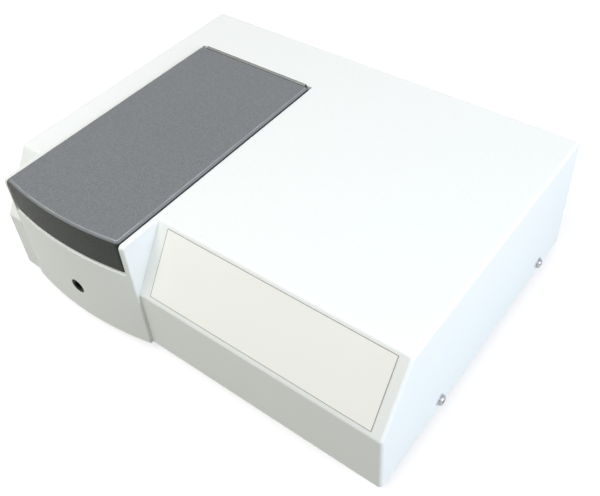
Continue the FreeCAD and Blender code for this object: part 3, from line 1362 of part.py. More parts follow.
def make_power_inlet():
    """Three-pin inlet: rim outside the panel, body behind it, pins in a deep socket."""
    body = new_body("power_inlet")
    outer = sketch_on(body, "XZ_Plane", -rim_face)
    rectangle(outer, inlet_left - rim, inlet_left + d.inlet_width + rim, inlet_low - rim,
              inlet_low + d.inlet_height + rim)
    pad(body, outer, d.inlet_rim_wall)
    soften(body, rim * 0.6, lambda edge: same(edge.Length, d.inlet_rim_wall))
    block = sketch_on(body, "XZ_Plane", -panel_face)
    rectangle(block, inlet_left, inlet_left + d.inlet_width, inlet_low,
              inlet_low + d.inlet_height)
    pad(body, block, d.inlet_depth)
    socket = sketch_on(body, "XZ_Plane", -rim_face)
    slant = d.inlet_height * 0.25
    left = inlet_left + d.inlet_wall
    right = inlet_left + d.inlet_width - d.inlet_wall
    low = inlet_low + d.inlet_wall
    high = inlet_low + d.inlet_height - d.inlet_wall
    outline(socket, [(left, low), (right, low), (right, high - slant), (right - slant, high),
                     (left + slant, high), (left, high - slant)])
    pocket(body, socket, d.inlet_socket_depth, forward=True)
    pins = new_group("inlet_pins")
    blades = sketch_on(pins, "XZ_Plane", d.inlet_socket_depth - rim_face)
    for across, up in ((-1, -1), (0, 1), (1, -1)):
        x = inlet_x + across * d.inlet_pin_pitch
        z = d.inlet_z + up * d.inlet_pin_rise
        rectangle(blades, x - d.inlet_pin_width / 2, x + d.inlet_pin_width / 2,
                  z - d.inlet_pin_height / 2, z + d.inlet_pin_height / 2)
    pad(pins, blades, d.inlet_socket_depth - d.inlet_pin_setback, back=True)


rocker_width = d.switch_width - 2 * d.switch_wall - 2 * d.rocker_gap
rocker_arm = d.switch_height / 2 - d.switch_wall - d.rocker_gap
rocker_tilt = 11
rocker_half = root(rocker_arm * rocker_arm - d.rocker_front * d.rocker_front)
rocker_reach = (d.rocker_front * math.cos(math.radians(rocker_tilt))
                + rocker_half * math.sin(math.radians(rocker_tilt)))
pivot_y = d.cover_depth + d.rear_proud - rocker_reach


def make_power_switch():
    """Rocker switch: rim and body in the panel, and a rocker on two short pins."""
    body = new_body("switch_housing")
    outer = sketch_on(body, "XZ_Plane", -rim_face)
    rectangle(outer, switch_left - rim, switch_left + d.switch_width + rim, switch_low - rim,
              switch_low + d.switch_height + rim)
    pad(body, outer, d.inlet_rim_wall)
    soften(body, rim * 0.4, lambda edge: same(edge.Length, d.inlet_rim_wall))
    block = sketch_on(body, "XZ_Plane", -panel_face)
    rectangle(block, switch_left, switch_left + d.switch_width, switch_low,
              switch_low + d.switch_height)
    pad(body, block, d.switch_depth)
    room = sketch_on(body, "XZ_Plane", -rim_face)
    rectangle(room, switch_left + d.switch_wall, switch_left + d.switch_width - d.switch_wall,
              switch_low + d.switch_wall, switch_low + d.switch_height - d.switch_wall)
    pocket(body, room, d.switch_depth * 0.6, forward=True)
    holes = sketch_on(body, "YZ_Plane", switch_x)
    circles(holes, [(pivot_y, d.inlet_z)], d.rocker_pin + d.running_gap)
    pocket(body, holes, rocker_width + 2 * d.rocker_pin_length + 2 * d.rocker_gap,
           midplane=True)

    rocker = new_body("switch_rocker", switch_x, pivot_y, d.inlet_z,
                      Rotation(Vector(1, 0, 0), rocker_tilt))
    paddle = sketch_on(rocker, "YZ_Plane")
    rear = root(rocker_arm * rocker_arm - d.rocker_back * d.rocker_back)
    outline(paddle, [(-d.rocker_back, -rear), (d.rocker_front, -rocker_half),
                     (d.rocker_front - d.rocker_hollow, 0), (d.rocker_front, rocker_half),
                     (-d.rocker_back, rear)], {0: rocker_arm, 3: rocker_arm})
    pad(rocker, paddle, rocker_width, midplane=True)
    pins = sketch_on(rocker, "YZ_Plane")
    circles(pins, [(0, 0)], d.rocker_pin)
    pad(rocker, pins, rocker_width + 2 * d.rocker_pin_length, midplane=True)


def make_data_port():
    """Square data socket with its tongue, held behind the panel by a flange."""
    body = new_body("usb_port")
    block = sketch_on(body, "XZ_Plane", -panel_face - 0.5)
    rectangle(block, usb_left, usb_left + d.usb_width, usb_low, usb_low + d.usb_height)
    pad(body, block, d.usb_depth)
    flange = sketch_on(body, "XZ_Plane", d.plate_wall - panel_face)
    rectangle(flange, usb_left - d.usb_flange, usb_left + d.usb_width + d.usb_flange,
              usb_low - d.usb_wall, usb_low + d.usb_height + d.usb_wall)
    pad(body, flange, d.usb_wall)
    socket = sketch_on(body, "XZ_Plane", -panel_face - 0.5)
    left = usb_left + d.usb_wall
    right = usb_left + d.usb_width - d.usb_wall
    low = usb_low + d.usb_wall
    high = usb_low + d.usb_height - d.usb_wall
    cut = d.usb_chamfer
    outline(socket, [(left, low), (right, low), (right, high - cut), (right - cut, high),
                     (left + cut, high), (left, high - cut)])
    pocket(body, socket, d.usb_depth * 0.6, forward=True)
    tongue = sketch_on(body, "XZ_Plane", d.usb_depth * 0.7 - panel_face)
    rectangle(tongue, usb_x - d.usb_tongue_width / 2, usb_x + d.usb_tongue_width / 2,
              d.usb_z - d.usb_tongue_height / 2, d.usb_z + d.usb_tongue_height / 2)
    pad(body, tongue, d.usb_depth * 0.6, back=True)


cover = make_top_cover()
finish_top_cover(cover)
make_nameplate()
make_sample_lid()
make_hinge()
make_lid_catch()
make_sample_compartment()
make_lid_seal()
make_front_port()
make_cell_holder()
make_lamp()
make_sphere()
make_spectrometer()
make_base_plate()
make_side_fixings()
make_feet()
make_electronics()
make_rear_panel()
make_power_inlet()
make_power_switch()
make_data_port()
doc.recompute()

for item in doc.Objects:
    if "Invalid" in item.State or "Error" in item.State:
        raise RuntimeError("%s didn't rebuild" % item.Name)
os.makedirs("parts", exist_ok=True)
for piece in pieces:
    if piece.Shape.isNull() or not piece.Shape.isValid():
        raise RuntimeError("%s has no sound shape" % piece.Label)
    piece.Shape.exportStep("parts/%s.step" % piece.Label)
print("wrote", len(pieces), "pieces")
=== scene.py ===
import bpy
import numpy as np
from mathutils import Matrix, Vector


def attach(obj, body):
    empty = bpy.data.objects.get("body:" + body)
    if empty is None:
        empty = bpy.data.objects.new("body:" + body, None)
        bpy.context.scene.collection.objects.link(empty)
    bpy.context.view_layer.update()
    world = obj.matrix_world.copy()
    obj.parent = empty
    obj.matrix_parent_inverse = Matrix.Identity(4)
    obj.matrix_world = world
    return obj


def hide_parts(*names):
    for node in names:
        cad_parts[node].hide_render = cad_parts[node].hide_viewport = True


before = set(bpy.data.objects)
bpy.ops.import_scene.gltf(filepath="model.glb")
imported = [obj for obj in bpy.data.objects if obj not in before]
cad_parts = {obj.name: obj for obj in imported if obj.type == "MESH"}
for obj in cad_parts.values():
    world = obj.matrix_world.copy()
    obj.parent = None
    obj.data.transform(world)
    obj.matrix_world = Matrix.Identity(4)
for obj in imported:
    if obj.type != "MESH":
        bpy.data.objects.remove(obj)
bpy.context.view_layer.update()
scene = bpy.context.scene
scene.view_settings.view_transform = "Standard"


# The camera stands high in front of the instrument's right corner, where the photograph was
# taken. Its three directions, its place, its focal length and its optical centre, both in
# pixels of the photograph, were solved from the edges of the cover.
picture_width, picture_height = 600, 496
focal_length = 790.84
centre_x, centre_y = 307.43, 207.72
standpoint = Vector((0.37672, -0.42344, 0.60830))
right = Vector((0.80028, 0.59776, -0.04724))
down = Vector((0.38405, -0.57148, -0.72520))
forward = Vector((-0.46050, 0.56222, -0.68691))
lens = bpy.data.cameras.new("camera")
lens.sensor_width = 36
lens.lens = focal_length / picture_width * lens.sensor_width
lens.shift_x = (picture_width / 2 - centre_x) / picture_width
lens.shift_y = (centre_y - picture_height / 2) / picture_width
lens.clip_start = 0.01
camera = bpy.data.objects.new("camera", lens)
scene.collection.objects.link(camera)
turn = Matrix((right, -down, -forward)).transposed().to_4x4()
camera.matrix_world = Matrix.Translation(standpoint) @ turn
scene.camera = camera


# The studio is white paper under soft boxes. The camera, mirrors and glass see the paper and
# the room as white, and the paper keeps a pale shadow of the instrument.
def node(tree, kind, feeds=None, **traits):
    """Adds a node with its own traits. feeds gives an input a number, or the output that
    feeds it."""
    made = tree.nodes.new(kind)
    for trait, value in traits.items():
        setattr(made, trait, value)
    for place, value in (feeds or {}).items():
        if isinstance(value, bpy.types.NodeSocket):
            tree.links.new(value, made.inputs[place])
        else:
            made.inputs[place].default_value = value
    return made


def math_of(tree, operation, *values, clamp=False):
    """What a math node makes of its values."""
    return node(tree, "ShaderNodeMath", dict(enumerate(values)), operation=operation,
                use_clamp=clamp).outputs[0]


def ramp(tree, value, low, high, start=0.0, end=1.0):
    """A number that goes from start to end while value goes from low to high."""
    return node(tree, "ShaderNodeMapRange",
                {0: value, 1: low, 2: high, 3: start, 4: end}).outputs[0]


def shade(tree, amount, low, high):
    """A colour between two, by a mask. Each is three numbers, or the output that gives it."""
    feeds = {0: amount}
    for place, colour in ((6, low), (7, high)):
        feeds[place] = colour if isinstance(colour, bpy.types.NodeSocket) else (*colour, 1)
    return node(tree, "ShaderNodeMix", feeds, data_type="RGBA").outputs[2]


def own_place(tree):
    """A point's place on its own object, in metres."""
    return node(tree, "ShaderNodeTexCoord").outputs["Object"]


def finish(name, roughness, metallic=0.0, **plain):
    """A new material, with the values that are the same all over set on its shader."""
    material = bpy.data.materials.new(name)
    material.use_nodes = True
    shader = material.node_tree.nodes["Principled BSDF"]
    shader.inputs["Roughness"].default_value = roughness
    shader.inputs["Metallic"].default_value = metallic
    for label, value in plain.items():
        shader.inputs[label.replace("_", " ")].default_value = value
    return material, material.node_tree, shader


def wire(shader, **outputs):
    """Feeds the shader's inputs, such as Base_Color, from outputs that change over the
    surface."""
    for label, output in outputs.items():
        shader.id_data.links.new(output, shader.inputs[label.replace("_", " ")])


def seen_by_eye(tree):
    """1 for the rays of the camera, of mirrors and of glass, and 0 for light that scatters."""
    rays = node(tree, "ShaderNodeLightPath").outputs
    either = math_of(tree, "MAXIMUM", rays["Is Camera Ray"], rays["Is Glossy Ray"])
    return math_of(tree, "MAXIMUM", either, rays["Is Transmission Ray"])


paper, tree, shader = finish("white_paper", 0.9, Specular_IOR_Level=0,
                             Emission_Color=(1, 1, 1, 1))
eye = seen_by_eye(tree)
away = node(tree, "ShaderNodeVectorMath", {0: own_place(tree)}, operation="LENGTH")
# The paper glows less near the instrument, which leaves room for its shadow.
shine = ramp(tree, away.outputs["Value"], 0.6, 2.4, start=0.7)
wire(shader, Base_Color=shade(tree, eye, (0.2, 0.21, 0.16), (0.4, 0.4, 0.4)),
     Emission_Strength=math_of(tree, "MULTIPLY", eye, shine))
sheet = bpy.data.meshes.new("paper")
edge = 6
sheet.from_pydata([(-edge, -edge, 0), (edge, -edge, 0), (edge, edge, 0), (-edge, edge, 0)], [],
                  [(0, 1, 2, 3)])
sheet.materials.append(paper)
floor = bpy.data.objects.new("paper", sheet)
scene.collection.objects.link(floor)

room = bpy.data.worlds.new("room")
room.use_nodes = True
scene.world = room
tree = room.node_tree
sky = tree.nodes["Background"].inputs
sky["Color"].default_value = (1, 1, 1, 1)
tree.links.new(ramp(tree, seen_by_eye(tree), 0, 1, start=0.24), sky["Strength"])


def soft_box(name, place, width, height, power, tint=(1, 1, 1)):
    """A rectangular lamp that faces the instrument."""
    lamp = bpy.data.lights.new(name, "AREA")
    lamp.shape = "RECTANGLE"
    lamp.size = width
    lamp.size_y = height
    lamp.energy = power
    lamp.color = tint
    box = bpy.data.objects.new(name, lamp)
    scene.collection.objects.link(box)
    box.location = place
    box.rotation_mode = "QUATERNION"
    middle = Vector((0, 0, 0.1))
    box.rotation_quaternion = (middle - Vector(place)).to_track_quat("-Z", "Y")


soft_box("box_over", (-0.25, -0.95, 1.7), 1.4, 1.2, 25)
soft_box("box_behind", (-1.5, 1.85, 2.1), 3.0, 2.4, 12)
soft_box("box_right", (1.45, 0.02, 0.56), 0.34, 0.7, 17.6, (0.77, 0.85, 1.0))
soft_box("box_left", (-1.1, -0.9, 0.7), 0.9, 0.8, 2.0, (0.98, 1.0, 0.88))
soft_box("box_back", (-0.55, 2.0, 0.45), 1.4, 0.8, 8)


# The base is bent from steel sheet, with two flanges that the cover is screwed to. It has a
# light grey powder coat, which is a little uneven, and bright at edges that were rubbed.
def noise(tree, place, scale, detail, roughness=0.5):
    """A noise with about scale patches to the metre."""
    return node(tree, "ShaderNodeTexNoise", {"Vector": place, "Scale": scale, "Detail": detail,
                                             "Roughness": roughness}).outputs[0]


def dot(tree, vector, other):
    """The dot product of two vectors."""
    return node(tree, "ShaderNodeVectorMath", {0: vector, 1: other},
                operation="DOT_PRODUCT").outputs["Value"]


def own_normal(tree):
    """The surface's direction on its own object, which turns with the body it rides on."""
    return node(tree, "ShaderNodeTexCoord").outputs["Normal"]


def upward(tree):
    """1 on faces that look up, 0 on upright ones and -1 on those that look down."""
    return node(tree, "ShaderNodeSeparateXYZ", {0: own_normal(tree)}).outputs[2]


def effect(name, label, value, *yields):
    """A new node group with one number as its input and masks as its outputs."""
    tree = bpy.data.node_groups.new(name, "ShaderNodeTree")
    given = tree.interface.new_socket(label, in_out="INPUT", socket_type="NodeSocketFloat")
    given.default_value = value
    for mask in yields:
        tree.interface.new_socket(mask, in_out="OUTPUT", socket_type="NodeSocketFloat")
    return tree, node(tree, "NodeGroupInput").outputs[label]


def yield_masks(group, *masks):
    """Puts masks out of a node group, in the order of its outputs."""
    node(group, "NodeGroupOutput", dict(enumerate(masks)))


grain_effect, cells = effect("moulded_grain", "Cells per metre", 900, "Relief", "Speck")
place = own_place(grain_effect)
fine = noise(grain_effect, place, cells, 3, 0.6)
pebbles = node(grain_effect, "ShaderNodeTexVoronoi",
               {"Vector": place, "Scale": math_of(grain_effect, "MULTIPLY", cells, 0.55)},
               feature="SMOOTH_F1").outputs[0]
yield_masks(grain_effect, math_of(grain_effect, "MULTIPLY", fine, pebbles),
            ramp(grain_effect, fine, 0.35, 0.65))

soil_effect, patches = effect("handling", "Patches per metre", 12, "Cloud", "Dust")
place = own_place(soil_effect)
cloud = ramp(soil_effect, noise(soil_effect, place, patches, 4, 0.55), 0.3, 0.7)
mote = ramp(soil_effect, noise(soil_effect, place, 420, 2), 0.62, 0.74)
yield_masks(soil_effect, cloud,
            math_of(soil_effect, "MULTIPLY", mote, upward(soil_effect), clamp=True))

wear_effect, reach = effect("rubbed_edges", "Reach", 0.0006, "Edge")
rounded = node(wear_effect, "ShaderNodeBevel", {"Radius": reach}, samples=4).outputs[0]
facing = node(wear_effect, "ShaderNodeNewGeometry").outputs["Normal"]
bent = ramp(wear_effect, dot(wear_effect, rounded, facing), 0.985, 0.86)
patchy = ramp(wear_effect, noise(wear_effect, own_place(wear_effect), 260, 4), 0.42, 0.6)
yield_masks(wear_effect, math_of(wear_effect, "MULTIPLY", bent, patchy, clamp=True))


def placed(tree, group, value):
    """The masks of one effect, placed in a material with its own number."""
    return node(tree, "ShaderNodeGroup", {0: value}, node_tree=group).outputs


def spread(tree, amount, low, high):
    """A number between two, by a mask."""
    return ramp(tree, amount, 0, 1, low, high)


def relief(tree, height, depth):
    """The normal of a surface that a height pattern roughens, depth metres deep."""
    return node(tree, "ShaderNodeBump", {"Height": height, "Distance": depth,
                                         "Strength": 1}).outputs[0]


def dress(material, *names):
    """Gives CAD pieces a material."""
    for name in names:
        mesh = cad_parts[name].data
        mesh.materials.clear()
        mesh.materials.append(material)


powder_coat, tree, shader = finish("powder_coat", 0.45)
skin = placed(tree, grain_effect, 1400)
soil = placed(tree, soil_effect, 14)
worn = placed(tree, wear_effect, 0.0007)
coat = shade(tree, soil["Cloud"], (0.52, 0.53, 0.52), (0.6, 0.61, 0.6))
wire(shader, Base_Color=shade(tree, worn["Edge"], coat, (0.62, 0.62, 0.6)),
     Roughness=spread(tree, soil["Cloud"], 0.38, 0.55), Metallic=worn["Edge"],
     Normal=relief(tree, skin["Relief"], 0.00012))
dress(powder_coat, "base_plate", "rear_panel")


# Four feet of black rubber, each with a zinc plated screw through it. The rubber is dull and
# takes up dust from the bench.
foot_rubber, tree, shader = finish("foot_rubber", 0.8)
skin = placed(tree, grain_effect, 1100)
soil = placed(tree, soil_effect, 60)
body = shade(tree, soil["Cloud"], (0.022, 0.022, 0.023), (0.05, 0.049, 0.047))
wire(shader, Base_Color=shade(tree, soil["Dust"], body, (0.2, 0.19, 0.18)),
     Roughness=spread(tree, soil["Cloud"], 0.7, 0.9),
     Normal=relief(tree, skin["Relief"], 0.0002))
dress(foot_rubber, "rubber_feet")

zinc_plating, tree, shader = finish("zinc_plating", 0.3, 1.0)
skin = placed(tree, grain_effect, 3000)
soil = placed(tree, soil_effect, 300)
wire(shader, Base_Color=shade(tree, soil["Cloud"], (0.6, 0.61, 0.64), (0.74, 0.75, 0.77)),
     Roughness=spread(tree, soil["Cloud"], 0.2, 0.38),
     Normal=relief(tree, skin["Relief"], 0.00003))
dress(zinc_plating, "foot_screws", "cover_washers", "cover_nuts", "sphere_screws",
      "rear_panel_screws", "board_screws", "hinge_cover_screws", "hinge_lid_screws")


# The power supply is a bought unit in a folded case of galvanised sheet, whose zinc shows as
# large flat crystals.
galvanised, tree, shader = finish("galvanised", 0.4, 1.0)
crystals = node(tree, "ShaderNodeTexVoronoi", {"Vector": own_place(tree), "Scale": 160},
                distance="MANHATTAN")
tilt = node(tree, "ShaderNodeSeparateColor", {0: crystals.outputs["Color"]}).outputs[0]
wire(shader, Base_Color=shade(tree, tilt, (0.5, 0.51, 0.53), (0.68, 0.69, 0.7)),
     Roughness=spread(tree, tilt, 0.3, 0.5))
dress(galvanised, "power_supply")


# The circuit boards are glass cloth in green lacquer, with copper tracks that show through it
# as a lighter green. They carry moulded black chips and stand on brass pillars.
solder_mask, tree, shader = finish("solder_mask", 0.3, Coat_Weight=0.3)
tracks = node(tree, "ShaderNodeTexBrick",
              {"Vector": own_place(tree), "Scale": 220, "Mortar Size": 0.05,
               "Brick Width": 2.2, "Row Height": 0.5}).outputs["Fac"]
soil = placed(tree, soil_effect, 40)
lacquer = shade(tree, soil["Cloud"], (0.012, 0.10, 0.035), (0.02, 0.14, 0.05))
wire(shader, Base_Color=shade(tree, tracks, lacquer, (0.05, 0.26, 0.1)),
     Roughness=spread(tree, soil["Cloud"], 0.25, 0.4), Normal=relief(tree, tracks, 0.00003))
dress(solder_mask, "main_board", "detector_board")

chip_plastic, tree, shader = finish("chip_plastic", 0.55)
skin = placed(tree, grain_effect, 4000)
wire(shader, Base_Color=shade(tree, skin["Speck"], (0.02, 0.02, 0.022), (0.035, 0.035, 0.037)),
     Normal=relief(tree, skin["Relief"], 0.00005))
dress(chip_plastic, "board_parts", "lid_sensor")

turned_brass, tree, shader = finish("turned_brass", 0.25, 1.0)
soil = placed(tree, soil_effect, 350)
wire(shader, Base_Color=shade(tree, soil["Cloud"], (0.66, 0.46, 0.19), (0.8, 0.6, 0.3)),
     Roughness=spread(tree, soil["Cloud"], 0.18, 0.35))
dress(turned_brass, "board_standoffs", "inlet_pins")


# The optics are built on black anodised aluminium, which shows bare metal where edges are
# rubbed. The lamp's board, the sphere and the posts are milled aluminium, left bare. The lens
# is polished glass, and the mirrors and the grating are glass under a metal coat.
black_anodised, tree, shader = finish("black_anodised", 0.4, 0.6)
skin = placed(tree, grain_effect, 5000)
soil = placed(tree, soil_effect, 30)
worn = placed(tree, wear_effect, 0.0004)
layer = shade(tree, soil["Cloud"], (0.022, 0.022, 0.025), (0.035, 0.035, 0.038))
wire(shader, Base_Color=shade(tree, worn["Edge"], layer, (0.45, 0.45, 0.46)),
     Roughness=spread(tree, soil["Cloud"], 0.34, 0.5),
     Normal=relief(tree, skin["Relief"], 0.00004))
dress(black_anodised, "lamp_heat_sink", "lens_barrel", "sphere_bracket", "spectrometer_case",
      "spectrometer_lid", "cell_rail", "cell_fixed_jaw", "cell_sliding_jaw")


def strokes(tree, scale, detail):
    """A noise that is drawn out into strokes by another scale to the metre on each axis."""
    drawn = node(tree, "ShaderNodeMapping", {0: own_place(tree), 3: scale})
    return noise(tree, drawn.outputs[0], 1, detail)


milled_aluminium, tree, shader = finish("milled_aluminium", 0.3, 1.0)
passes = strokes(tree, (40, 2600, 2600), 3)
wire(shader, Base_Color=shade(tree, passes, (0.62, 0.63, 0.64), (0.8, 0.8, 0.81)),
     Roughness=spread(tree, passes, 0.2, 0.42), Normal=relief(tree, passes, 0.00002))
dress(milled_aluminium, "lamp_board", "sphere_near_half", "sphere_far_half",
      "spectrometer_posts")

phosphor, tree, shader = finish("phosphor", 0.3, Coat_Weight=0.5)
skin = placed(tree, grain_effect, 2500)
wire(shader, Base_Color=shade(tree, skin["Speck"], (0.75, 0.58, 0.1), (0.85, 0.7, 0.2)))
dress(phosphor, "lamp_chip")

lens_glass, tree, shader = finish("lens_glass", 0.02, Transmission_Weight=1.0, IOR=1.52)
soil = placed(tree, soil_effect, 80)
wire(shader, Base_Color=shade(tree, soil["Cloud"], (0.93, 0.97, 0.98), (0.97, 0.99, 1.0)),
     Roughness=spread(tree, soil["Dust"], 0.01, 0.12))
dress(lens_glass, "collimator_lens")

mirror_coat, tree, shader = finish("mirror_coat", 0.03, 1.0)
soil = placed(tree, soil_effect, 90)
wire(shader, Base_Color=shade(tree, soil["Dust"], (0.88, 0.89, 0.91), (0.6, 0.6, 0.6)),
     Roughness=spread(tree, soil["Dust"], 0.02, 0.3))
dress(mirror_coat, "collimating_mirror", "focusing_mirror")

ruled_coat, tree, shader = finish("ruled_coat", 0.12, 1.0)
# The grating's purple and warm bands are painted colour that stands in for light split by its
# rules, a painted reflection.
painted_diffraction_bands = node(tree, "ShaderNodeTexWave", {"Vector": own_place(tree), "Scale": 900},
             bands_direction="X").outputs["Fac"]
wire(shader, Base_Color=shade(tree, painted_diffraction_bands, (0.55, 0.5, 0.72), (0.8, 0.78, 0.7)))
dress(ruled_coat, "diffraction_grating")


# The sample compartment is one black moulded tub, matt so that it swallows stray light, and
# scuffed grey where cells were set down. A soft black edging on its rim meets the lid.
chamber_black, tree, shader = finish("chamber_black", 0.6)
skin = placed(tree, grain_effect, 1000)
soil = placed(tree, soil_effect, 22)
body = shade(tree, soil["Cloud"], (0.016, 0.016, 0.017), (0.028, 0.028, 0.03))
wire(shader, Base_Color=shade(tree, soil["Dust"], body, (0.08, 0.08, 0.08)),
     Roughness=spread(tree, soil["Cloud"], 0.5, 0.7),
     Normal=relief(tree, skin["Relief"], 0.00025))
dress(chamber_black, "sample_compartment")

edging_rubber, tree, shader = finish("edging_rubber", 0.75)
skin = placed(tree, grain_effect, 1800)
soil = placed(tree, soil_effect, 50)
wire(shader, Base_Color=shade(tree, soil["Cloud"], (0.02, 0.02, 0.02), (0.042, 0.042, 0.042)),
     Normal=relief(tree, skin["Relief"], 0.0002))
dress(edging_rubber, "lid_seal")


def closed_rings(name, bodies, loop=False):
    """A mesh on bodies, an array of bodies of rings of points. Point j of ring i is joined to
    point j of ring i + 1 and to its own ring's next point, the last to the first. The first
    and last rings of a body are each closed by a point at their middle or, with loop, joined
    to each other. Faces point out if rings seen from the first to the next run anticlockwise."""
    many, count, around = bodies.shape[:3]
    body, i, j = np.meshgrid(np.arange(many), np.arange(count - 1 + loop), np.arange(around),
                             indexing="ij")
    start = body * count * around
    here, there = start + i * around, start + (i + 1) % count * around
    k = (j + 1) % around
    faces = np.stack([here + j, there + j, there + k, here + k], axis=-1).reshape(-1, 4).tolist()
    points = bodies.reshape(-1, 3)
    if not loop:
        tip = len(points) + 2 * body[:, 0]
        first = start[:, 0]
        last = first + (count - 1) * around
        j, k = j[:, 0], k[:, 0]
        faces += np.stack([tip, first + j, first + k], axis=-1).reshape(-1, 3).tolist()
        faces += np.stack([tip + 1, last + k, last + j], axis=-1).reshape(-1, 3).tolist()
        points = np.concatenate([points, bodies[:, [0, -1]].mean(axis=2).reshape(-1, 3)])
    mesh = bpy.data.meshes.new(name)
    mesh.from_pydata(points.tolist(), [], faces)
    mesh.shade_smooth()
    mesh.set_sharp_from_angle(angle=0.6)
    piece = bpy.data.objects.new(name, mesh)
    scene.collection.objects.link(piece)
    return piece


def cross_screw(seat, outward, head, height, shank, length):
    """Rings of a pan head screw. The head is the upper half of a fourth-power ellipse, of
    radius head and height height. A cross is sunk in it, 0.6 of the height deep where the
    smaller of |x| and |y| is under 0.1 of the head's radius and the distance from the axis is
    under 0.56 of it. The depth falls to nothing at 0.15 and 0.66. Below the seat the shank is
    a plain rod of radius shank, which tapers at its end. askew turns the cross."""
    askew = (0.6, 0.48, 0.64)
    angle = np.linspace(0, 2 * np.pi, 96, endpoint=False)
    share = np.sin(np.linspace(0.03, 1, 40) * np.pi / 2)
    radius = np.concatenate([head * share, [shank, shank, shank * 0.6]])
    level = np.concatenate([height * (1 - share ** 4) ** 0.25, [0, 0.8 * shank - length, -length]])
    x = radius[:, None] * np.cos(angle)
    y = radius[:, None] * np.sin(angle)
    narrow = np.minimum(np.abs(x), np.abs(y)) / head
    across_arm = np.clip((0.15 - narrow) / 0.05, 0, 1)
    along_arm = np.clip((0.66 - radius[:, None] / head) / 0.1, 0, 1)
    on_head = level[:, None] > 0
    z = level[:, None] - 0.6 * height * across_arm * along_arm * on_head
    side = np.cross(outward, askew)
    side /= np.linalg.norm(side)
    up = np.cross(outward, side)
    return (np.array(seat) + x[..., None] * side + y[..., None] * up
            + z[..., None] * np.array(outward))


flange_top = 0.1295
screw_columns, screw_rows = (-0.183, -0.045), (-0.12482, -0.034, 0.05682)
tub_screws = closed_rings("tub_screws", np.stack([
    cross_screw((x, y, flange_top), outward=(0, 0, 1), head=0.0027, height=0.0018, shank=0.0015,
                length=0.0075)
    for x in screw_columns for y in screw_rows]))
tub_screws.data.materials.append(zinc_plating)
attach(tub_screws, "housing")
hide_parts("compartment_screws")


# The cell holder stands on a dovetail rail in the tub. Its jaws are black anodised, and the
# sliding one is locked by a steel knob with a diamond knurl, cut on a lathe.
def knurled_knob(axis_x, axis_z, front, back, end):
    """Rings of the lock knob, turned about a line along Y, from its front over the rim and
    down the back to the end of its shank. Between its chamfers the radius is 5 mm, less 0.3 mm
    where neither of two families of 44 slanting ridges is high. Each ridge is the positive
    half of a cosine of the angle and the place along the axis."""
    knob_radius, groove, ridges, slant = 0.005, 0.0003, 44, 5200
    front_chamfer, back_chamfer = 0.0007, 0.0005
    angle = np.linspace(0, 2 * np.pi, 264, endpoint=False)
    rim = np.linspace(front + front_chamfer, back - back_chamfer, 22)
    place = np.concatenate([[front, front, front], rim, [back, back, end - 0.0004, end]])
    radius = np.concatenate([[0.001, 0.003, 0.0043], np.full(len(rim), knob_radius),
                             [0.0044, 0.0019, 0.0019, 0.0015]])
    ridge = np.maximum(np.cos(ridges * angle + slant * place[:, None]),
                       np.cos(ridges * angle - slant * place[:, None]))
    on_rim = radius[:, None] == knob_radius
    reach = radius[:, None] - on_rim * groove * (1 - np.clip(ridge, 0, 1))
    return np.stack([axis_x + reach * np.cos(angle), np.broadcast_to(place[:, None], reach.shape),
                     axis_z + reach * np.sin(angle)], axis=-1)


knurled_steel, tree, shader = finish("knurled_steel", 0.25, 1.0)
soil = placed(tree, soil_effect, 260)
worn = placed(tree, wear_effect, 0.0003)
bare = shade(tree, soil["Cloud"], (0.42, 0.42, 0.43), (0.56, 0.56, 0.57))
wire(shader, Base_Color=shade(tree, worn["Edge"], bare, (0.75, 0.75, 0.75)),
     Roughness=spread(tree, soil["Cloud"], 0.2, 0.36))
knob = closed_rings("knurled_knob", knurled_knob(axis_x=-0.0794, axis_z=0.0615, front=-0.0873,
                                                 back=-0.0803, end=-0.067)[None])
knob.data.materials.append(knurled_steel)
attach(knob, "jaw_lock")
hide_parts("jaw_lock_knob")


# At the back the panel carries a moulded mains inlet with brass pins, a rocker switch and the
# square data port in its pressed nickel plated shell. All three are snap-in bought parts.
socket_black, tree, shader = finish("socket_black", 0.35)
skin = placed(tree, grain_effect, 2600)
soil = placed(tree, soil_effect, 70)
wire(shader, Base_Color=shade(tree, soil["Cloud"], (0.016, 0.016, 0.017), (0.03, 0.03, 0.032)),
     Roughness=spread(tree, soil["Cloud"], 0.3, 0.45),
     Normal=relief(tree, skin["Relief"], 0.00006))
dress(socket_black, "power_inlet", "switch_housing")

rocker_gloss, tree, shader = finish("rocker_gloss", 0.15, Coat_Weight=0.4)
soil = placed(tree, soil_effect, 120)
body = shade(tree, soil["Cloud"], (0.012, 0.012, 0.012), (0.02, 0.02, 0.02))
wire(shader, Base_Color=shade(tree, soil["Dust"], body, (0.2, 0.2, 0.2)),
     Roughness=spread(tree, soil["Cloud"], 0.1, 0.28))
dress(rocker_gloss, "switch_rocker")

port_nickel, tree, shader = finish("port_nickel", 0.28, 1.0)
passes = strokes(tree, (1800, 60, 1800), 2)
wire(shader, Base_Color=shade(tree, passes, (0.38, 0.38, 0.37), (0.52, 0.52, 0.51)),
     Roughness=spread(tree, passes, 0.2, 0.36))
dress(port_nickel, "usb_port")


def on_rocker(half, x, along, over):
    """Points on the rocker's face in metres, from the middle of its upper half, for 1, or of
    its lower half, for -1. That middle stands 3.8 mm out from the pin and 5.37 mm above or
    below it. along runs up or down the flat half, and over rises from it. Each half slopes by
    0.111 to 0.9938, and the rocker leans back 11 degrees about its pin."""
    proud, apart = 0.0038, 0.00537
    rise, run, lean = 0.111, 0.9938, np.radians(11)
    pin_x, pin_y, pin_z = 0.145, 0.168133, 0.042
    y = proud + rise * along + run * over
    z = half * (apart + run * along - rise * over)
    return np.stack([pin_x + x, pin_y + y * np.cos(lean) - z * np.sin(lean),
                     pin_z + y * np.sin(lean) + z * np.cos(lean)], axis=-1)


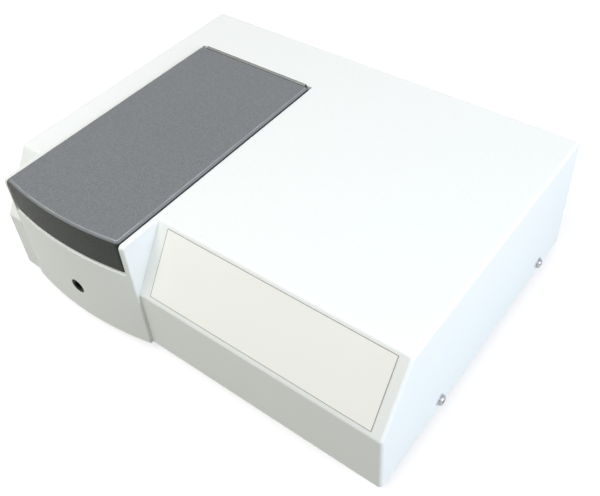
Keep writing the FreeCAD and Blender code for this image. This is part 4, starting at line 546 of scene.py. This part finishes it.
def ring_mark():
    """The round mark: a loop 1.9 mm in radius, whose section is a flat ellipse."""
    turn, section = np.meshgrid(np.linspace(0, 2 * np.pi, 72, endpoint=False),
                                np.linspace(0, 2 * np.pi, 10, endpoint=False), indexing="ij")
    radius = 0.0019 + 0.0003 * np.cos(section)
    return on_rocker(-1, radius * np.cos(turn), radius * np.sin(turn), 0.00007 * np.sin(section))


def bar_mark():
    """The straight mark: a rod 4.4 mm long of flat elliptic section, that thins to its ends
    with the square root of one less the eighth power of the place along it. Its rings run
    downwards, which turns its faces out."""
    place, section = np.meshgrid(np.linspace(0.999, -0.999, 30),
                                 np.linspace(0, 2 * np.pi, 12, endpoint=False), indexing="ij")
    size = np.sqrt(1 - place ** 8)
    return on_rocker(1, 0.00032 * size * np.cos(section), 0.0022 * place,
                     0.00007 * size * np.sin(section))


mark_white, tree, shader = finish("mark_white", 0.5)
soil = placed(tree, soil_effect, 300)
wire(shader, Base_Color=shade(tree, soil["Cloud"], (0.7, 0.7, 0.68), (0.82, 0.82, 0.8)))
for mark in (closed_rings("off_mark", ring_mark()[None], loop=True),
             closed_rings("on_mark", bar_mark()[None])):
    mark.data.materials.append(mark_white)
    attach(mark, "rocker")


# The cover is one large moulding in white plastic. Its tool was lightly spark eroded, which
# gives the surface a fine even grain, and the white is a little warmer where it was handled.
cover_white, tree, shader = finish("cover_white", 0.5)
skin = placed(tree, grain_effect, 1500)
soil = placed(tree, soil_effect, 7)
white = shade(tree, soil["Cloud"], (0.835, 0.855, 0.825), (0.855, 0.872, 0.845))
grained = shade(tree, skin["Speck"], white, (0.87, 0.885, 0.86))
wire(shader, Base_Color=shade(tree, soil["Dust"], grained, (0.83, 0.83, 0.81)),
     Roughness=spread(tree, soil["Cloud"], 0.44, 0.54),
     Normal=relief(tree, skin["Relief"], 0.00006))
dress(cover_white, "top_cover")


# A turned black bush lines the round port in the middle of the block's front. It is smoother
# than the mouldings round it, and its mouth is worn a little grey.
bush_black, tree, shader = finish("bush_black", 0.5, Specular_IOR_Level=0.08)
soil = placed(tree, soil_effect, 120)
worn = placed(tree, wear_effect, 0.0004)
body = shade(tree, soil["Cloud"], (0.004, 0.004, 0.004), (0.009, 0.009, 0.009))
wire(shader, Base_Color=shade(tree, worn["Edge"], body, (0.03, 0.03, 0.03)),
     Roughness=spread(tree, soil["Cloud"], 0.4, 0.55))
dress(bush_black, "front_port_bush")


# Steel screws hold the cover to the base's flanges, two on each side. They are bright pan
# heads with a cross recess, on plain washers.
washer_face, flange_middle, screw_rows = 0.221, 0.0245, (-0.072, 0.118)
side_screws = closed_rings("side_screws", np.stack([
    cross_screw((side * washer_face, y, flange_middle), outward=(side, 0, 0), head=0.005,
                height=0.0032, shank=0.0025, length=0.0115)
    for side in (-1, 1) for y in screw_rows]))
screw_steel, tree, shader = finish("screw_steel", 0.22, 1.0)
soil = placed(tree, soil_effect, 420)
worn = placed(tree, wear_effect, 0.0005)
bare = shade(tree, soil["Cloud"], (0.36, 0.36, 0.38), (0.5, 0.5, 0.52))
wire(shader, Base_Color=shade(tree, worn["Edge"], bare, (0.7, 0.7, 0.72)),
     Roughness=spread(tree, soil["Cloud"], 0.16, 0.3))
side_screws.data.materials.append(screw_steel)
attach(side_screws, "housing")
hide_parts("cover_screws")


# A steel knuckle hinge runs along the lid's rear edge, brushed lengthwise and dull. The slit
# of the spectrometer is cut in the same sheet.
brushed_steel, tree, shader = finish("brushed_steel", 0.3, 1.0)
brushing = strokes(tree, (30, 3200, 3200), 4)
worn = placed(tree, wear_effect, 0.0003)
bare = shade(tree, brushing, (0.16, 0.165, 0.16), (0.24, 0.245, 0.24))
wire(shader, Base_Color=shade(tree, worn["Edge"], bare, (0.42, 0.42, 0.41)),
     Roughness=spread(tree, brushing, 0.25, 0.45), Normal=relief(tree, brushing, 0.00002))
dress(brushed_steel, "hinge_cover_leaf", "hinge_lid_leaf", "hinge_pin", "entrance_slit")


# The lid is moulded in dark grey, with a pebbled grain. Its flat top is painted paler as a painted
# sheen, and its sides darker as a painted shade. Its roundings carry a painted highlight, with a
# broken painted glint where the top ends at the right and front.
# A nickel plated magnet under its front edge tells the sensor in the rim that it is shut.
lid_grey, tree, shader = finish("lid_grey", 0.4, Specular_IOR_Level=0.14)
skin = placed(tree, grain_effect, 1000)
soil = placed(tree, soil_effect, 9)
up = upward(tree)
# The upright sides are a painted shade and the flat top a painted sheen: darker and paler copies
# of one grey, chosen by how far the face looks up.
upright = shade(tree, skin["Speck"], (0.014, 0.016, 0.012), (0.042, 0.046, 0.037))
level = shade(tree, skin["Speck"], (0.155, 0.162, 0.168), (0.226, 0.234, 0.242))
grain_with_painted_light = shade(tree, ramp(tree, up, 0.15, 0.75), upright, level)
# A paler grey on the roundings, between upright and flat faces, is a painted highlight.
painted_rounding_highlight = shade(tree, soil["Cloud"], (0.2, 0.207, 0.212), (0.235, 0.242, 0.247))
off_level = ramp(tree, up, 0.96, 0.995, start=1.0, end=0.0)
grain_with_painted_light = shade(tree, ramp(tree, up, 0.3, 0.8, end=off_level), grain_with_painted_light, painted_rounding_highlight)
# A broken bright line where the flat top meets its roundings on the right and front is a painted
# glint. A coarse noise breaks it up along its length.
glint_breakup = placed(tree, soil_effect, 55)
painted_glint_grey = shade(tree, glint_breakup["Cloud"], (0.24, 0.25, 0.243), (0.44, 0.45, 0.44))
front_right = ramp(tree, dot(tree, own_normal(tree), (0.7, -0.7, 0)), 0.04, 0.1)
grain_with_painted_light = shade(tree, ramp(tree, up, 0.92, 0.965, end=front_right), grain_with_painted_light, painted_glint_grey)
wire(shader, Base_Color=shade(tree, soil["Dust"], grain_with_painted_light, (0.2, 0.2, 0.2)),
     Roughness=spread(tree, soil["Cloud"], 0.38, 0.48),
     Normal=relief(tree, skin["Relief"], 0.00018))
dress(lid_grey, "sample_lid")

magnet_nickel, tree, shader = finish("magnet_nickel", 0.15, 1.0)
soil = placed(tree, soil_effect, 400)
wire(shader, Base_Color=shade(tree, soil["Cloud"], (0.62, 0.61, 0.58), (0.74, 0.73, 0.7)),
     Roughness=spread(tree, soil["Cloud"], 0.1, 0.25))
dress(magnet_nickel, "lid_magnet")


# The nameplate is a bare laminated label on the slope, a little warmer than the cover. A grey
# line half a millimetre wide is printed along its edges.
label_film, tree, shader = finish("label_film", 0.35, Coat_Weight=0.15, Coat_Roughness=0.2)
skin = placed(tree, grain_effect, 700)
soil = placed(tree, soil_effect, 10)
place = own_place(tree)
across, upslope = (1, 0, 0), (0, 0.5469, 0.8372)
margins = []
for way, middle, half in ((across, 0.093, 0.1155), (upslope, 0.01403, 0.03253)):
    aside = math_of(tree, "SUBTRACT", dot(tree, place, way), middle)
    margins.append(math_of(tree, "SUBTRACT", half, math_of(tree, "ABSOLUTE", aside)))
line = ramp(tree, math_of(tree, "MINIMUM", *margins), 0.0005, 0.0006, start=1.0, end=0.0)
film = shade(tree, soil["Cloud"], (0.91, 0.905, 0.845), (0.93, 0.925, 0.87))
wire(shader, Base_Color=shade(tree, line, film, (0.3, 0.3, 0.28)),
     Roughness=spread(tree, soil["Cloud"], 0.3, 0.42),
     Normal=relief(tree, skin["Relief"], 0.00002))
dress(label_film, "nameplate")
